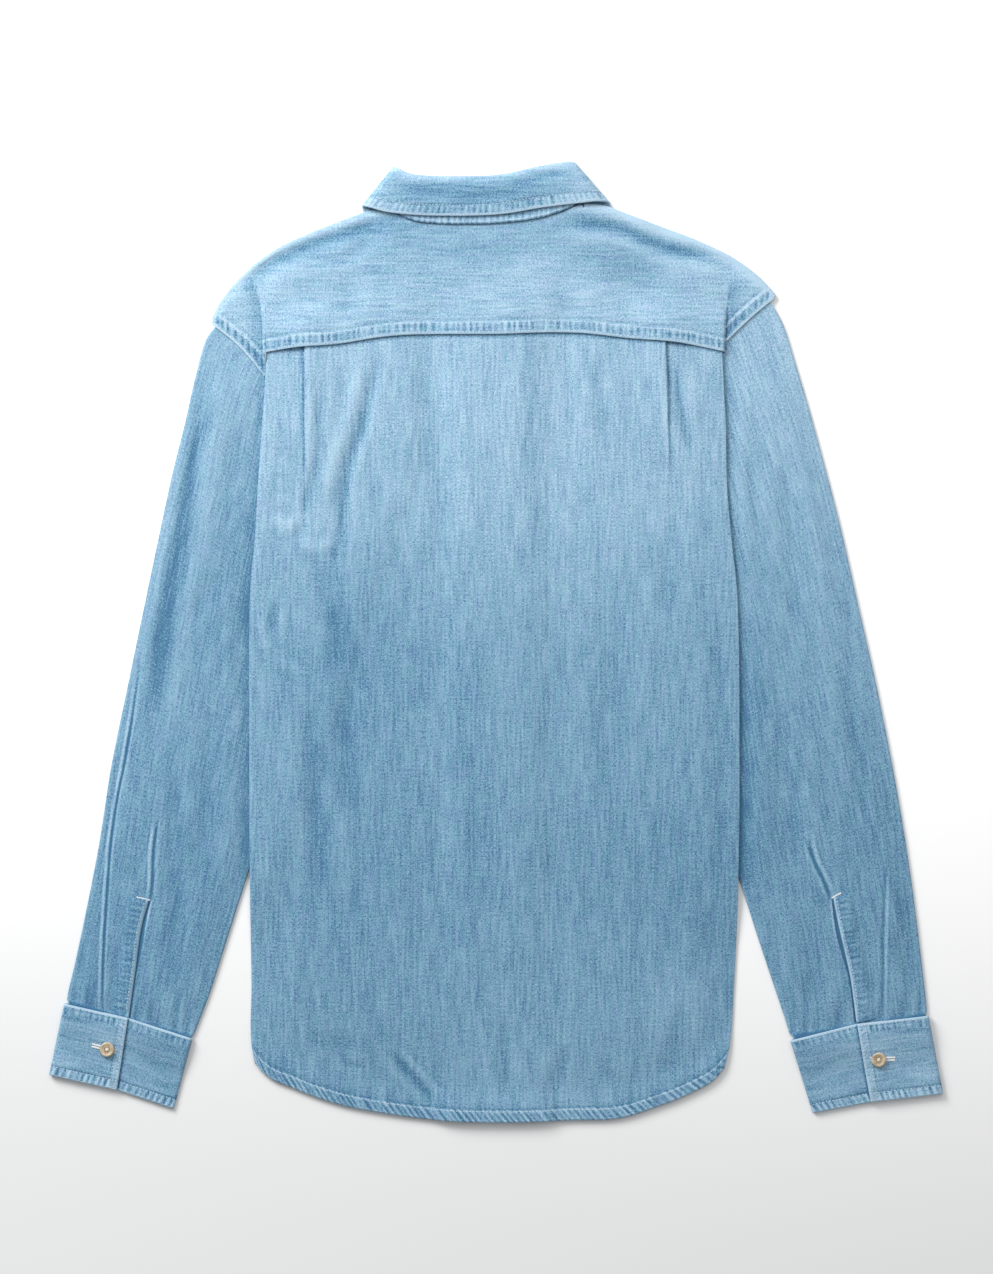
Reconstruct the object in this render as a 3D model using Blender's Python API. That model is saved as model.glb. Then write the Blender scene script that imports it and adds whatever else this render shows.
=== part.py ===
"""Denim shirt with long sleeves, laid flat on a table with its back up.

Metres, +Z up. +Y points to the collar and -Y to the hem. The origin is on the table, under the
middle of the shirt. The cloth pieces are thin walls: each is a grid of points on the middle of the
cloth, given in millimetres, with half the wall added on both faces. The two sleeves lie under the
body, which rests on them and on the table.
"""

import math

import bmesh
import bpy
import numpy as np

MM = 0.001

# Walls and gaps, in mm.
CLOTH = 1.0
SEAM_GAP = 0.3
LAYER = CLOTH + SEAM_GAP
CUFF_WALL = 1.6
COLLAR_WALL = 1.8
STAND_WALL = 1.4
HEM_WALL = 1.9
HEM_DEPTH = 9.0

# Heights of the layers above the table, in mm.
SLEEVE_LOW = 0.5
SLEEVE_HIGH = 2.9
OVER_SLEEVE = 3.9
BACK_HIGH = 5.2
OVER_COLLAR_LEAF = 2.4
OVER_STAND = 1.9

# Body: the side edges, with the columns height y, left x, right x.
SIDE_EDGES = [
    (245, -188.6, 185.0),
    (217, -188.8, 186.0),
    (180, -191.2, 188.0),
    (125, -195.0, 189.3),
    (82, -197.5, 193.0),
    (46, -200.8, 197.0),
    (0, -202.0, 198.8),
    (-65, -202.0, 199.3),
    (-190, -201.5, 198.5),
    (-280, -200.2, 195.0),
    (-335, -199.5, 190.5),
    (-352, -196.0, 186.5),
    (-400, -190.0, 180.0),
]

# Hem: the lower edge of the tails, with the columns x, height y.
HEM_EDGE = [
    (-200, -343),
    (-190, -354),
    (-166, -366),
    (-130, -379),
    (-90, -387),
    (-45, -392.5),
    (0, -394),
    (60, -392.5),
    (105, -390),
    (130, -382),
    (160, -370),
    (180, -358),
    (192, -344),
]

# Yoke seam: the folded lower edge of the yoke, with the columns x, height y.
YOKE_SEAM = [
    (-192, 235.5),
    (-165, 240),
    (-133, 242.5),
    (-90, 249),
    (0, 251),
    (67, 252),
    (110, 247.5),
    (150, 244),
    (188, 236.5),
]

# Shoulder: the fold that is the upper outline, with the columns x, height y.
SHOULDER = [
    (-233.5, 261),
    (-229, 272),
    (-222, 283),
    (-207, 300),
    (-183, 319),
    (-150, 335),
    (-118, 347.5),
    (-108, 347),
    (-84, 347),
    (-70, 356),
    (0, 358),
    (72, 352),
    (92, 352.5),
    (102, 352),
    (133, 340),
    (167, 327),
    (197, 312),
    (217, 296.5),
    (225, 288),
    (229.5, 282.5),
]

# Back neckline: the lower edge of the collar stand, with the columns x, height y.
BACK_NECK = [
    (-84, 349),
    (-67, 342.5),
    (-40, 340.3),
    (0, 340.8),
    (30, 344),
    (50, 348.3),
    (68, 355),
]

# Armhole: the outer end of the yoke over the sleeve head, with the columns x, height y.
ARMHOLE_LEFT = [(-233.5, 260), (-212, 242.5), (-202, 232), (-190, 217)]
ARMHOLE_RIGHT = [(186.5, 243), (200, 256.5), (213, 268.5), (229, 281.5)]

# Tuck at the armhole: the yoke steps down outside this line. Columns height y, left x, right x.
TUCK_LINE = [(215, -191.0, 187.0), (240, -191.6, 188.0), (275, -194.0, 190.0), (300, -202.0, 193.0)]
TUCK_TOP = 296.0

# Pleats of the back below the yoke: the columns x at the yoke, x at the lower end, lower end y.
PLEATS = [(-157.0, -156.0, 80.0), (139.5, 143.5, 110.0)]
PLEAT_HEIGHT = 1.7
PLEAT_STEP = 1.6

# Sleeves: the columns outer x, outer y, inner x, inner y, from the armhole to the cuff seam.
SLEEVE_LEFT = [
    (-227.5, 260, -95, 137),
    (-238, 246, -99, 124),
    (-247, 214, -108, 96),
    (-255, 178, -118, 66),
    (-265, 138, -129, 32),
    (-277, 82, -144, -14),
    (-290, 20, -159, -60),
    (-302, -38, -173, -102),
    (-315, -101, -188, -148),
    (-325, -165, -202, -187),
    (-336, -222, -219, -240),
    (-345, -264, -233, -284),
    (-350, -285, -243, -311),
    (-352, -296, -249, -326),
]
SLEEVE_RIGHT = [
    (226, 275, 95, 137),
    (236, 256, 99, 124),
    (247, 221, 107, 96),
    (257, 188, 116, 66),
    (268, 148, 127, 32),
    (282, 94, 141, -14),
    (298, 24, 155, -60),
    (312, -38, 169, -102),
    (325, -103, 184, -148),
    (336, -167, 199, -194),
    (343, -216, 214, -241),
    (349, -265, 228, -283),
    (352, -291, 237, -310),
    (353.5, -307, 241.5, -325),
]

# How far the sleeve heads bow up under the yoke, in mm.
HEAD_RISE_LEFT = 5.0
HEAD_RISE_RIGHT = 18.0

# Cuffs: the outline, with the columns x, height y, in this order: outer end of the seam, middle
# of the seam at the overlap, inner end of the seam, then the same three along the open edge.
CUFF_LEFT = [
    (-353.5, -296.5), (-301, -308.5), (-248.5, -325.5),
    (-366, -355), (-310.5, -367.5), (-264, -383),
]
CUFF_RIGHT = [
    (354.2, -306.5), (295.3, -313.3), (241, -327),
    (366.3, -370.5), (306.8, -377.5), (259.5, -386.5),
]
CUFF_UNDERLAP = 0.2

# Collar: the columns roll x, roll y, edge x, edge y, roll height, edge height. The roll is the
# upper fold and the edge is the free edge of the leaf, from the left point round to the right.
COLLAR_LEAF = [
    (-7, 322, -44, 258, 1.2, 1.0),
    (-30, 336, -66, 274, 1.2, 1.0),
    (-54, 354, -86, 304, 1.2, 1.0),
    (-72, 370, -98, 331, 1.4, 1.0),
    (-82, 382, -106.5, 347, 2.4, 1.1),
    (-84, 387, -109.3, 355.5, 5.6, 4.6),
    (-81, 386.5, -104, 354.5, 9.6, 10.0),
    (-68, 381, -86, 350, 10.8, 11.2),
    (-42, 379.3, -52, 347.5, 11.0, 11.2),
    (0, 380.3, 0, 348.3, 11.0, 11.2),
    (32, 386.7, 36, 353.8, 11.0, 11.2),
    (52, 390.5, 66, 357.5, 10.8, 11.2),
    (62, 391.2, 84, 359.3, 9.6, 10.0),
    (66, 389, 92.5, 358.5, 5.6, 4.6),
    (67, 383, 93, 352, 2.4, 1.1),
    (62, 371, 87, 333, 1.4, 1.0),
    (50, 354, 79, 306, 1.2, 1.0),
    (30, 336, 64, 278, 1.2, 1.0),
    (7, 322, 46, 262, 1.2, 1.0),
]
LEAF_BULGE = 1.4

# Collar stand: the columns neck x, neck y, roll x, roll y, neck height, roll height.
COLLAR_STAND = [
    (11, 287, 13, 318, 3.9, 3.6),
    (-14, 287, -12, 320, 3.9, 3.6),
    (-30, 294, -27, 331, 4.3, 3.6),
    (-52, 312, -50, 349, 4.4, 3.7),
    (-68, 336, -66, 366, 4.6, 4.0),
    (-77.5, 353, -74.5, 377, 5.4, 4.9),
    (-80, 355, -76, 382.5, 7.2, 6.4),
    (-77, 350.5, -73, 382, 8.8, 7.8),
    (-66, 343.2, -62, 377.5, 9.1, 8.2),
    (-38, 340.8, -38, 375.6, 9.1, 8.4),
    (0, 341.3, 0, 376.4, 9.1, 8.4),
    (30, 344.6, 30, 382.6, 9.1, 8.4),
    (50, 350, 47, 386.3, 9.1, 8.2),
    (62, 355, 55, 386.8, 8.8, 7.8),
    (66, 358.5, 58.5, 384.5, 7.2, 6.4),
    (63.5, 355, 59, 377, 5.4, 4.9),
    (60, 336, 56, 366, 4.6, 4.0),
    (48, 313, 45, 349, 4.4, 3.7),
    (30, 295, 27, 331, 4.6, 4.0),
    (14, 288, 12, 320, 6.0, 5.6),
    (-9, 287, -11, 318, 6.0, 5.6),
]

# Neck ends of the shoulders, x.
NECK_LEFT = -85.0
NECK_RIGHT = 71.0

# Front neckline on the underside, with the columns distance from the middle, height y.
FRONT_NECK = [(0, 284), (20, 285), (40, 297), (60, 318)]
FRONT_OVERLAP = 16.0
PLACKET_WIDTH = 32.0
YOKE_FRONT_DEPTH = 34.0
FRONT_CORNER = 274.0

# Room left between two layers that aren't sewn together, in mm.
SLACK = 0.5

# Buttons, in mm.
BUTTON_RADIUS = 6.0
BUTTON_WALL = 2.0
# Lower face of the outer front over its buttons and placket band.
FRONT_STACK = BUTTON_WALL + SEAM_GAP + LAYER
FRONT_BUTTON_TOP = 236.0
FRONT_BUTTON_PITCH = 88.0
FRONT_BUTTON_COUNT = 6
COLLAR_BUTTON_Y = 303.0
CUFF_BUTTON_LEFT = (-318.0, -334.0)
CUFF_BUTTON_RIGHT = (313.0, -342.4)

# Sleeve plackets: the columns x and y of the upper end, x and y of the lower end, of the edge
# beside the slit. The strip lies on the outer side of that edge.
PLACKET_LEFT = (-284.0, -212.0, -300.5, -304.0)
PLACKET_RIGHT = (276.0, -211.0, 294.5, -308.0)
SLEEVE_PLACKET_WIDTH = 17.0

DENIM_LIGHT = (0.36, 0.55, 0.70)
DENIM_MID = (0.24, 0.42, 0.58)
HORN = (0.62, 0.47, 0.30)


def clear_scene():
    """Remove every object that the file opened with."""
    for thing in list(bpy.data.objects):
        bpy.data.objects.remove(thing, do_unlink=True)


def finish(name, colour, roughness):
    """Make a plain material for one sub-part."""
    material = bpy.data.materials.new(name)
    material.use_nodes = True
    shader = material.node_tree.nodes["Principled BSDF"]
    shader.inputs["Base Color"].default_value = (*colour, 1.0)
    shader.inputs["Roughness"].default_value = roughness
    shader.inputs["Metallic"].default_value = 0.0
    return material


def look_up(table, value, column=1):
    """Read a column of a table whose first column is in order."""
    rows = sorted(table)
    return np.interp(value, [row[0] for row in rows], [row[column] for row in rows])


def ease(value):
    """Go from 0 to 1 with no corner."""
    clipped = np.clip(value, 0.0, 1.0)
    return clipped * clipped * (3.0 - 2.0 * clipped)


def vertex_normals(points, cells):
    """Average the normals of the cells round each point of a grid."""
    normals = np.zeros_like(points)
    for corners in cells:
        a, b, c, d = (points[corner] for corner in corners)
        normal = np.cross(c - a, d - b)
        for corner in corners:
            normals[corner] += normal
    lengths = np.linalg.norm(normals, axis=1, keepdims=True)
    return normals / np.maximum(lengths, 1e-9)


def wall(name, grid, thickness, colour, skip=None, ring=False):
    """Make a closed wall from a grid of points on the middle of the cloth, in mm.

    thickness is one number or one for each point, skip(row, column) leaves a cell out, and a ring
    joins its last column to its first.
    """
    grid = np.asarray(grid, float)
    rows, columns = grid.shape[:2]
    points = grid.reshape(-1, 3)
    half = np.broadcast_to(np.asarray(thickness, float), (rows, columns)).reshape(-1, 1) / 2.0
    cells = []
    for row in range(rows - 1):
        for column in range(columns if ring else columns - 1):
            if skip and skip(row, column):
                continue
            after = (column + 1) % columns
            cells.append((
                row * columns + column,
                row * columns + after,
                (row + 1) * columns + after,
                (row + 1) * columns + column,
            ))
    normals = vertex_normals(points, cells)
    used = sorted({corner for cell in cells for corner in cell})
    place = {corner: index for index, corner in enumerate(used)}
    upper = (points + normals * half)[used]
    lower = (points - normals * half)[used]
    count = len(used)
    faces = []
    sides = {}
    for cell in cells:
        corners = [place[corner] for corner in cell]
        faces.append(corners)
        faces.append([corner + count for corner in reversed(corners)])
        for start, end in zip(corners, corners[1:] + corners[:1]):
            if (end, start) in sides:
                del sides[(end, start)]
            else:
                sides[(start, end)] = True
    for start, end in sides:
        faces.append([end, start, start + count, end + count])
    mesh = bpy.data.meshes.new(name)
    mesh.from_pydata((np.vstack([upper, lower]) * MM).tolist(), [], faces)
    mesh.update()
    thing = bpy.data.objects.new(name, mesh)
    bpy.context.collection.objects.link(thing)
    mesh.materials.append(finish(name, colour, 0.9))
    return thing


def sleeve_inner_distance(x, y):
    """Distance from the inner edge of the sleeve under the body, positive towards the middle."""
    table = SLEEVE_LEFT if x < 0 else SLEEVE_RIGHT
    edge = sorted((row[3], abs(row[2])) for row in table)
    inner = np.interp(y, [row[0] for row in edge], [row[1] for row in edge])
    return inner - abs(x)


def sleeve_support(x, y):
    """Height of what holds the body up over a sleeve."""
    near = 1.0 - ease((sleeve_inner_distance(x, y) - 16.0) / 45.0)
    past_sleeve = ease((y + 262.0) / 70.0)
    return OVER_SLEEVE * near * past_sleeve


def front_support(x, y):
    """Height of the lower face of the fronts."""
    buttons = FRONT_STACK * (1.0 - ease((abs(x) - 20.0) / 45.0))
    leaf = OVER_COLLAR_LEAF * ease((y - 215.0) / 35.0) * (1.0 - ease((abs(x) - 116.0) / 30.0))
    shoulder = sleeve_support(x, y) * (1.0 - ease((y - 274.0) / 18.0))
    return max(buttons, leaf, shoulder)


def lap(x, reach):
    """1 within reach of the middle, where the two fronts lie on each other, easing to 0 beside."""
    return 1.0 - ease((abs(x) - reach) / 16.0)


def hem_thickness(y, edge_y):
    """Wall of a panel: thicker in the hem, where the cloth is turned up."""
    return HEM_WALL if y < edge_y + HEM_DEPTH else CLOTH


def front_stack(x, y):
    """Height of the upper face of the fronts."""
    edge_y = look_up(HEM_EDGE, x)
    thick = CLOTH + (HEM_WALL - CLOTH) * (1.0 - ease((y - edge_y - HEM_DEPTH - 2.0) / 18.0))
    return front_support(x, y) + thick + (thick + SEAM_GAP) * lap(x, 38.0)


def side_edge(y, right):
    """x of the side edge of the body."""
    return look_up(SIDE_EDGES, y, 2 if right else 1)


def across(share, y):
    """x at a share of the width of the body."""
    return side_edge(y, False) * (1.0 - share) + side_edge(y, True) * share


def pleat_rise(x, y):
    """Extra height of the middle of the back inside its two pleats."""
    rise = 0.0
    for top_x, low_x, low_y in PLEATS:
        length = look_up(YOKE_SEAM, top_x) - low_y
        along = (y - low_y) / length
        line = low_x + (top_x - low_x) * min(max(along, 0.0), 1.0)
        inward = (x - line) if top_x < 0 else (line - x)
        step = ease(inward / PLEAT_STEP)
        fall = 1.0 - ease((inward - PLEAT_STEP) / 34.0)
        rise = max(rise, PLEAT_HEIGHT * step * fall * ease(along * 2.0))
    return rise


def back_height(x, y):
    """Middle of the back panel and of the inner yoke."""
    to_side = min(x - side_edge(y, False), side_edge(y, True) - x)
    from_hem = y - look_up(HEM_EDGE, x) - HEM_DEPTH
    half = CLOTH / 2.0 + (HEM_WALL - CLOTH) / 2.0 * (1.0 - ease((from_hem - 2.0) / 18.0))
    low = front_stack(x, y) + SEAM_GAP + half + SLACK * (0.4 + 0.6 * ease((y - 120.0) / 60.0))
    high = max(BACK_HIGH, low + SLACK)
    share = ease(to_side / 42.0) * ease(from_hem / 75.0)
    return low + (high - low) * share + pleat_rise(x, y)


def back_columns():
    """Shares of the width for the columns of the back, close together at the pleats."""
    shares = [0.0, 0.02, 0.05]
    width = 376.0
    for top_x, low_x, low_y in PLEATS:
        centre = (top_x + 190.0) / width
        step = PLEAT_STEP / width
        sign = 1.0 if top_x < 0 else -1.0
        shares += [centre, centre + sign * step, centre + sign * 10.0 / width]
        shares += [centre + sign * 22.0 / width, centre + sign * 38.0 / width]
    shares += [0.28, 0.36, 0.43, 0.5, 0.57, 0.64, 0.72, 0.95, 0.98, 1.0]
    return sorted(shares)


def body_rows(edge_y, top_y):
    """Heights of the rows of a body panel, from the hem up."""
    span = top_y - edge_y
    first = [0.0, HEM_DEPTH - 0.5, HEM_DEPTH + 1.0]
    rest = [0.06, 0.11, 0.17, 0.25, 0.33, 0.42, 0.52, 0.62, 0.72, 0.81, 0.88, 0.94, 1.0]
    return [edge_y + step for step in first] + [edge_y + span * step for step in rest]


def make_back():
    """The back panel: pleated into the yoke, with shaped tails and a narrow hem."""
    columns = back_columns()
    grid = []
    walls = []
    for number in range(16):
        line = []
        for share in columns:
            x = across(share, 0.0) * 0.985
            edge_y = float(look_up(HEM_EDGE, x))
            seam = float(look_up(YOKE_SEAM, x))
            y = body_rows(edge_y, seam + 8.0)[number]
            x = across(share, y)
            line.append((x, y, back_height(x, y)))
            walls.append(hem_thickness(y, edge_y))
        grid.append(line)
    return wall("back", grid, np.reshape(walls, (16, -1)), DENIM_MID)


def front_neck_y(x):
    """Height y of the top edge of a front on the underside."""
    return float(look_up(FRONT_NECK, abs(x)))


def front_top(x):
    """Where a front ends: at the neckline, or at the front edge of the yoke."""
    if abs(x) < 60.0:
        return front_neck_y(x)
    return float(look_up(SHOULDER, x)) - YOKE_FRONT_DEPTH - 1.0


def make_front(name, right):
    """One front, face down on the table and lifted by the sleeve under its side."""
    sign = 1.0 if right else -1.0
    shares = [0.0, 0.03, 0.12, 0.26, 0.4, 0.54, 0.66]
    middle = [sign * 44.0, sign * 32.0, sign * 21.0, 0.0, -sign * FRONT_OVERLAP]
    grid = []
    walls = []
    for number in range(16):
        line = []
        for column in range(len(shares) + len(middle)):
            inside = column >= len(shares)
            share = 0.0 if inside else shares[column]
            x = middle[column - len(shares)] if inside else sign * 200.0 * (1.0 - share)
            edge_y = float(look_up(HEM_EDGE, x))
            top = front_top(x) if abs(x) < 165.0 else FRONT_CORNER
            y = body_rows(edge_y, top)[number]
            if not inside:
                x = float(side_edge(y, right)) * (1.0 - share)
            thick = hem_thickness(y, edge_y)
            height = front_support(x, y) + thick / 2.0
            if right:
                height += (thick + SEAM_GAP) * lap(x, 20.0)
            line.append((x, y, height))
            walls.append(thick)
        grid.append(line[::-1] if right else line)
        if right:
            walls[-len(line):] = walls[-len(line):][::-1]
    return wall(name, grid, np.reshape(walls, (16, -1)), DENIM_MID)


def make_placket_band():
    """The folded strip down the outer front, which carries the buttonholes."""
    grid = []
    half = PLACKET_WIDTH / 2.0
    top = front_neck_y(half) - 1.0
    bottom = float(look_up(HEM_EDGE, 0.0)) + HEM_DEPTH + 2.0
    for y in np.linspace(bottom, top, 10):
        height = front_support(0.0, y) - SEAM_GAP - CLOTH / 2.0
        grid.append([(x, y, height) for x in (-half, 0.0, half)])
    return wall("placket_band", grid, CLOTH, DENIM_LIGHT)


def yoke_floor(x):
    """Middle of the yoke on the underside, over the collar leaf or on the table."""
    over = 1.0 - ease((abs(x) - 116.0) / 22.0)
    return CLOTH / 2.0 + OVER_COLLAR_LEAF * over


def yoke_height(x, y):
    """Middle of the yoke on the upper side."""
    right = x > 0
    tuck = look_up(TUCK_LINE, y, 2 if right else 1)
    inward = (tuck - x) if right else (x - tuck)
    outer = OVER_SLEEVE + CLOTH / 2.0
    seam = float(look_up(YOKE_SEAM, x))
    above = y - seam - 11.0
    over_back = back_height(x, min(y, seam + 8.0)) + LAYER + SLACK / 2.0
    over_neck = OVER_STAND * ease((y - 258.0) / 22.0) * (1.0 - ease((abs(x) - 84.0) / 36.0))
    rest = BACK_HIGH + 0.6 + over_neck
    inner = over_back + (rest - over_back) * ease(above / 34.0)
    inner = max(inner, outer + 1.4, rest)
    closing = ease((y - TUCK_TOP + 30.0) / 30.0)
    step_width = 2.0 + 22.0 * closing
    raised = outer + (inner - outer) * ease(inward / step_width)
    to_shoulder = float(look_up(SHOULDER, x)) - y
    reach = 34.0 - 22.0 * ease((abs(x) - 185.0) / 20.0)
    if to_shoulder > reach + 2.0 or NECK_LEFT < x < NECK_RIGHT:
        return raised
    near_neck = 1.0 - ease((abs(x) - 84.0) / 25.0)
    edge = yoke_floor(x) + LAYER + 1.2 + 1.5 * near_neck
    return edge + (raised - edge) * ease((to_shoulder - 2.0) / reach)


def yoke_lower(x):
    """Lower edge of the yoke on the upper side."""
    if x < TUCK_LINE[0][1] - 1.0:
        return float(look_up(ARMHOLE_LEFT, x))
    if x > TUCK_LINE[0][2] + 1.0:
        return float(look_up(ARMHOLE_RIGHT, x))
    return float(look_up(YOKE_SEAM, x))


def make_yoke():
    """The yoke: one piece over both shoulders, open at the neck, ending on the underside."""
    body = [across(share, 236.0) for share in back_columns()][1:-1]
    left = [-232.0, -227.0, -217.0, -205.0, -192.4]
    right = [189.0, 200.0, 212.0, 222.0, 228.5]
    neck_ends = [NECK_LEFT - 1.0, NECK_LEFT + 1.0, NECK_RIGHT - 1.0, NECK_RIGHT + 1.0]
    inner = sorted([-189.4, -182.0, 178.0, 185.6] + neck_ends + body)
    columns = left + [x for x in inner if -189.5 < x < 185.7] + right
    shares = [0.0, 0.1, 0.22, 0.36, 0.52, 0.68, 0.84, 1.0]
    turn = 4.0
    grid = []
    neck = [NECK_LEFT < x < NECK_RIGHT for x in columns]
    for number in range(len(shares) + 6):
        line = []
        for x, at_neck in zip(columns, neck):
            low = yoke_lower(x)
            edge = float(look_up(SHOULDER, x))
            high = float(look_up(BACK_NECK, x)) + 1.5
            radius = min(turn, (edge - low) * 0.35)
            high = edge - radius if not at_neck else high
            top = yoke_height(x, high)
            floor = yoke_floor(x)
            if number < len(shares):
                y = low + (high - low) * shares[number]
                line.append((x, y, yoke_height(x, y)))
            elif number < len(shares) + 4:
                angle = math.pi * (number - len(shares) + 1) / 5.0
                middle = (top + floor) / 2.0
                line.append((
                    x,
                    edge - radius + radius * math.sin(angle),
                    middle + (top - floor) / 2.0 * math.cos(angle),
                ))
            else:
                reach = (0.5, 1.0)[number - len(shares) - 4]
                depth = min(YOKE_FRONT_DEPTH, (edge - low) * 0.6)
                line.append((x, edge - radius - (depth - radius) * reach, floor))
        grid.append(line)
    last = len(shares) - 1

    def hidden(row, column):
        return row >= last and (neck[column] or neck[column + 1])

    return wall("yoke", grid, CLOTH, DENIM_LIGHT, skip=hidden)


def sleeve_ring(start, end, low, high, shrink):
    """Points round a flattened sleeve between its outer and inner edge, seen from above."""
    start = np.array(start, float)
    end = np.array(end, float)
    length = np.linalg.norm(end - start)
    direction = (end - start) / length
    radius = (high - low) / 2.0
    middle = (high + low) / 2.0
    inset = CLOTH / 2.0 + shrink
    flats = [0.0, 0.1, 0.35, 0.65, 0.9, 1.0]
    run = length - 2.0 * (inset + radius)
    points = []
    for step in flats:
        along = inset + radius + run * step
        points.append((along, high))
    for angle in (45.0, 0.0, -45.0):
        turn = math.radians(angle)
        points.append((length - inset - radius + radius * math.cos(turn), middle + radius * math.sin(turn)))
    for step in reversed(flats):
        points.append((inset + radius + run * step, low))
    for angle in (225.0, 180.0, 135.0):
        turn = math.radians(angle)
        points.append((inset + radius + radius * math.cos(turn), middle + radius * math.sin(turn)))
    return [(*(start + direction * along), height) for along, height in points]


def bow_head(ring, start, end, rise):
    """Bow the end of a sleeve up into the curve of its head, most near the outer quarter."""
    bowed = []
    for x, y, height in ring:
        along = min(max((x - start[0]) / (end[0] - start[0]), 0.0), 1.0)
        bowed.append((x, y + rise * math.sin(math.pi * along ** 0.6), height))
    return bowed


def make_sleeve(name, table, head_rise):
    """One sleeve: a flattened tube from the armhole to the cuff, its end inside the cuff."""
    grid = []
    for number, (outer_x, outer_y, inner_x, inner_y) in enumerate(table):
        last = number == len(table) - 1
        low, high = (2.7, 4.0) if last else (SLEEVE_LOW, SLEEVE_HIGH)
        start, end = (outer_x, outer_y), (inner_x, inner_y)
        ring = sleeve_ring(start, end, low, high, 3.2 if last else 0.0)
        fade = max(0.0, 1.0 - number / 3.0)
        grid.append(bow_head(ring, start, end, head_rise * fade))
    if table[0][0] > 0:
        grid = grid[::-1]
    start, end = table[-1][:2], table[-1][2:]
    seam = np.array(end, float) - np.array(start, float)
    outwards = np.array((seam[1], -seam[0])) / np.linalg.norm(seam)
    if outwards[1] > 0:
        outwards = -outwards
    tail = [(x + outwards[0] * 7.0, y + outwards[1] * 7.0, z) for x, y, z in (
        grid[-1] if table[0][0] < 0 else grid[0])]
    grid = grid + [tail] if table[0][0] < 0 else [tail] + grid
    return wall(name, grid, CLOTH, DENIM_MID, ring=True)


def cuff_line(outline, share):
    """Outer end, overlap point and inner end of a line across a cuff, from its seam down."""
    upper = np.array(outline[:3], float)
    lower = np.array(outline[3:], float)
    return upper * (1.0 - share) + lower * share


def cuff_levels(share):
    """Heights of the lower wall, upper wall and overlapping wall of a cuff."""
    inside = (CLOTH * 2.0 + SEAM_GAP * 3.0) * (1.0 - ease((share - 0.12) / 0.5)) + 0.7
    low = CUFF_WALL / 2.0
    high = low + CUFF_WALL + inside
    return low, high, high + CUFF_WALL + SEAM_GAP


def make_cuff(name, outline):
    """One cuff: a stiff band round the end of the sleeve, lapped and buttoned on the upper side."""
    grid = []
    for share in (0.0, 0.12, 0.35, 0.62, 1.0):
        outer, lap, inner = cuff_line(outline, share)
        low, high, over = cuff_levels(share)
        middle = (low + over) / 2.0
        inset = CUFF_WALL / 2.0
        outward = (outer - lap) / np.linalg.norm(outer - lap)
        inward = (inner - lap) / np.linalg.norm(inner - lap)
        bend = 2.4
        line = []
        start = outer - outward * (inset + bend)
        end = inner - inward * (inset + bend)
        for step in (0.0, 0.35, 0.7, 1.0):
            line.append((*(lap + (start - lap) * step), over))
        for angle in (45.0, 0.0, -45.0):
            turn = math.radians(angle)
            spot = start + outward * bend * math.cos(turn)
            line.append((*spot, middle + (over - low) / 2.0 * math.sin(turn)))
        for step in (0.0, 0.25, 0.5, 0.75, 1.0):
            centre = start + (lap - start) * step * 2.0 if step <= 0.5 else lap + (end - lap) * (step * 2.0 - 1.0)
            line.append((*centre, low))
        for angle in (-45.0, 0.0, 45.0):
            turn = math.radians(angle)
            spot = end + inward * bend * math.cos(turn)
            line.append((*spot, (low + high) / 2.0 + (high - low) / 2.0 * math.sin(turn)))
        for step in (1.0, 0.7, 0.35, 0.0):
            line.append((*(lap + (end - lap) * step), high))
        under = lap + (start - lap) * CUFF_UNDERLAP * 2.0
        line.append((*under, high))
        grid.append(line)
    if outline[0][0] > 0:
        grid = grid[::-1]
    return wall(name, grid, CUFF_WALL, DENIM_LIGHT)


def make_sleeve_placket(name, ends):
    """The strip beside the slit of a sleeve, from its bar tack down to the cuff."""
    top_x, top_y, low_x, low_y = ends
    sign = -1.0 if top_x < 0 else 1.0
    grid = []
    for step in np.linspace(0.0, 1.0, 5):
        x = top_x + (low_x - top_x) * step
        y = top_y + (low_y - top_y) * step
        rise = 0.8 * ease((step - 0.8) / 0.2)
        height = SLEEVE_HIGH + LAYER + rise
        slope = 0.18
        line = [
            (x + sign * SLEEVE_PLACKET_WIDTH * part, y + slope * SLEEVE_PLACKET_WIDTH * part, height)
            for part in (0.0, 0.5, 1.0)
        ]
        grid.append(line if sign < 0 else line[::-1])
    return wall(name, grid, CLOTH, DENIM_MID)


def make_collar_leaf():
    """The collar leaf: from its roll to its free edge, round the neck from point to point."""
    grid = []
    for share in (0.0, 0.3, 0.7, 1.0):
        line = []
        for roll_x, roll_y, edge_x, edge_y, roll_z, edge_z in COLLAR_LEAF:
            bulge = LEAF_BULGE * math.sin(math.pi * share) * ease((edge_z - 8.0) / 2.0)
            line.append((
                roll_x + (edge_x - roll_x) * share,
                roll_y + (edge_y - roll_y) * share,
                roll_z + (edge_z - roll_z) * share + bulge,
            ))
        grid.append(line)
    return wall("collar_leaf", grid[::-1], COLLAR_WALL, DENIM_LIGHT)


def make_collar_stand():
    """The collar stand: the band between the neckline and the roll, inside the leaf."""
    grid = []
    for share in (0.0, 0.5, 1.0):
        grid.append([
            (
                neck_x + (roll_x - neck_x) * share,
                neck_y + (roll_y - neck_y) * share,
                neck_z + (roll_z - neck_z) * share,
            )
            for neck_x, neck_y, roll_x, roll_y, neck_z, roll_z in COLLAR_STAND
        ])
    return wall("collar_stand", grid, STAND_WALL, DENIM_LIGHT)


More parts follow.
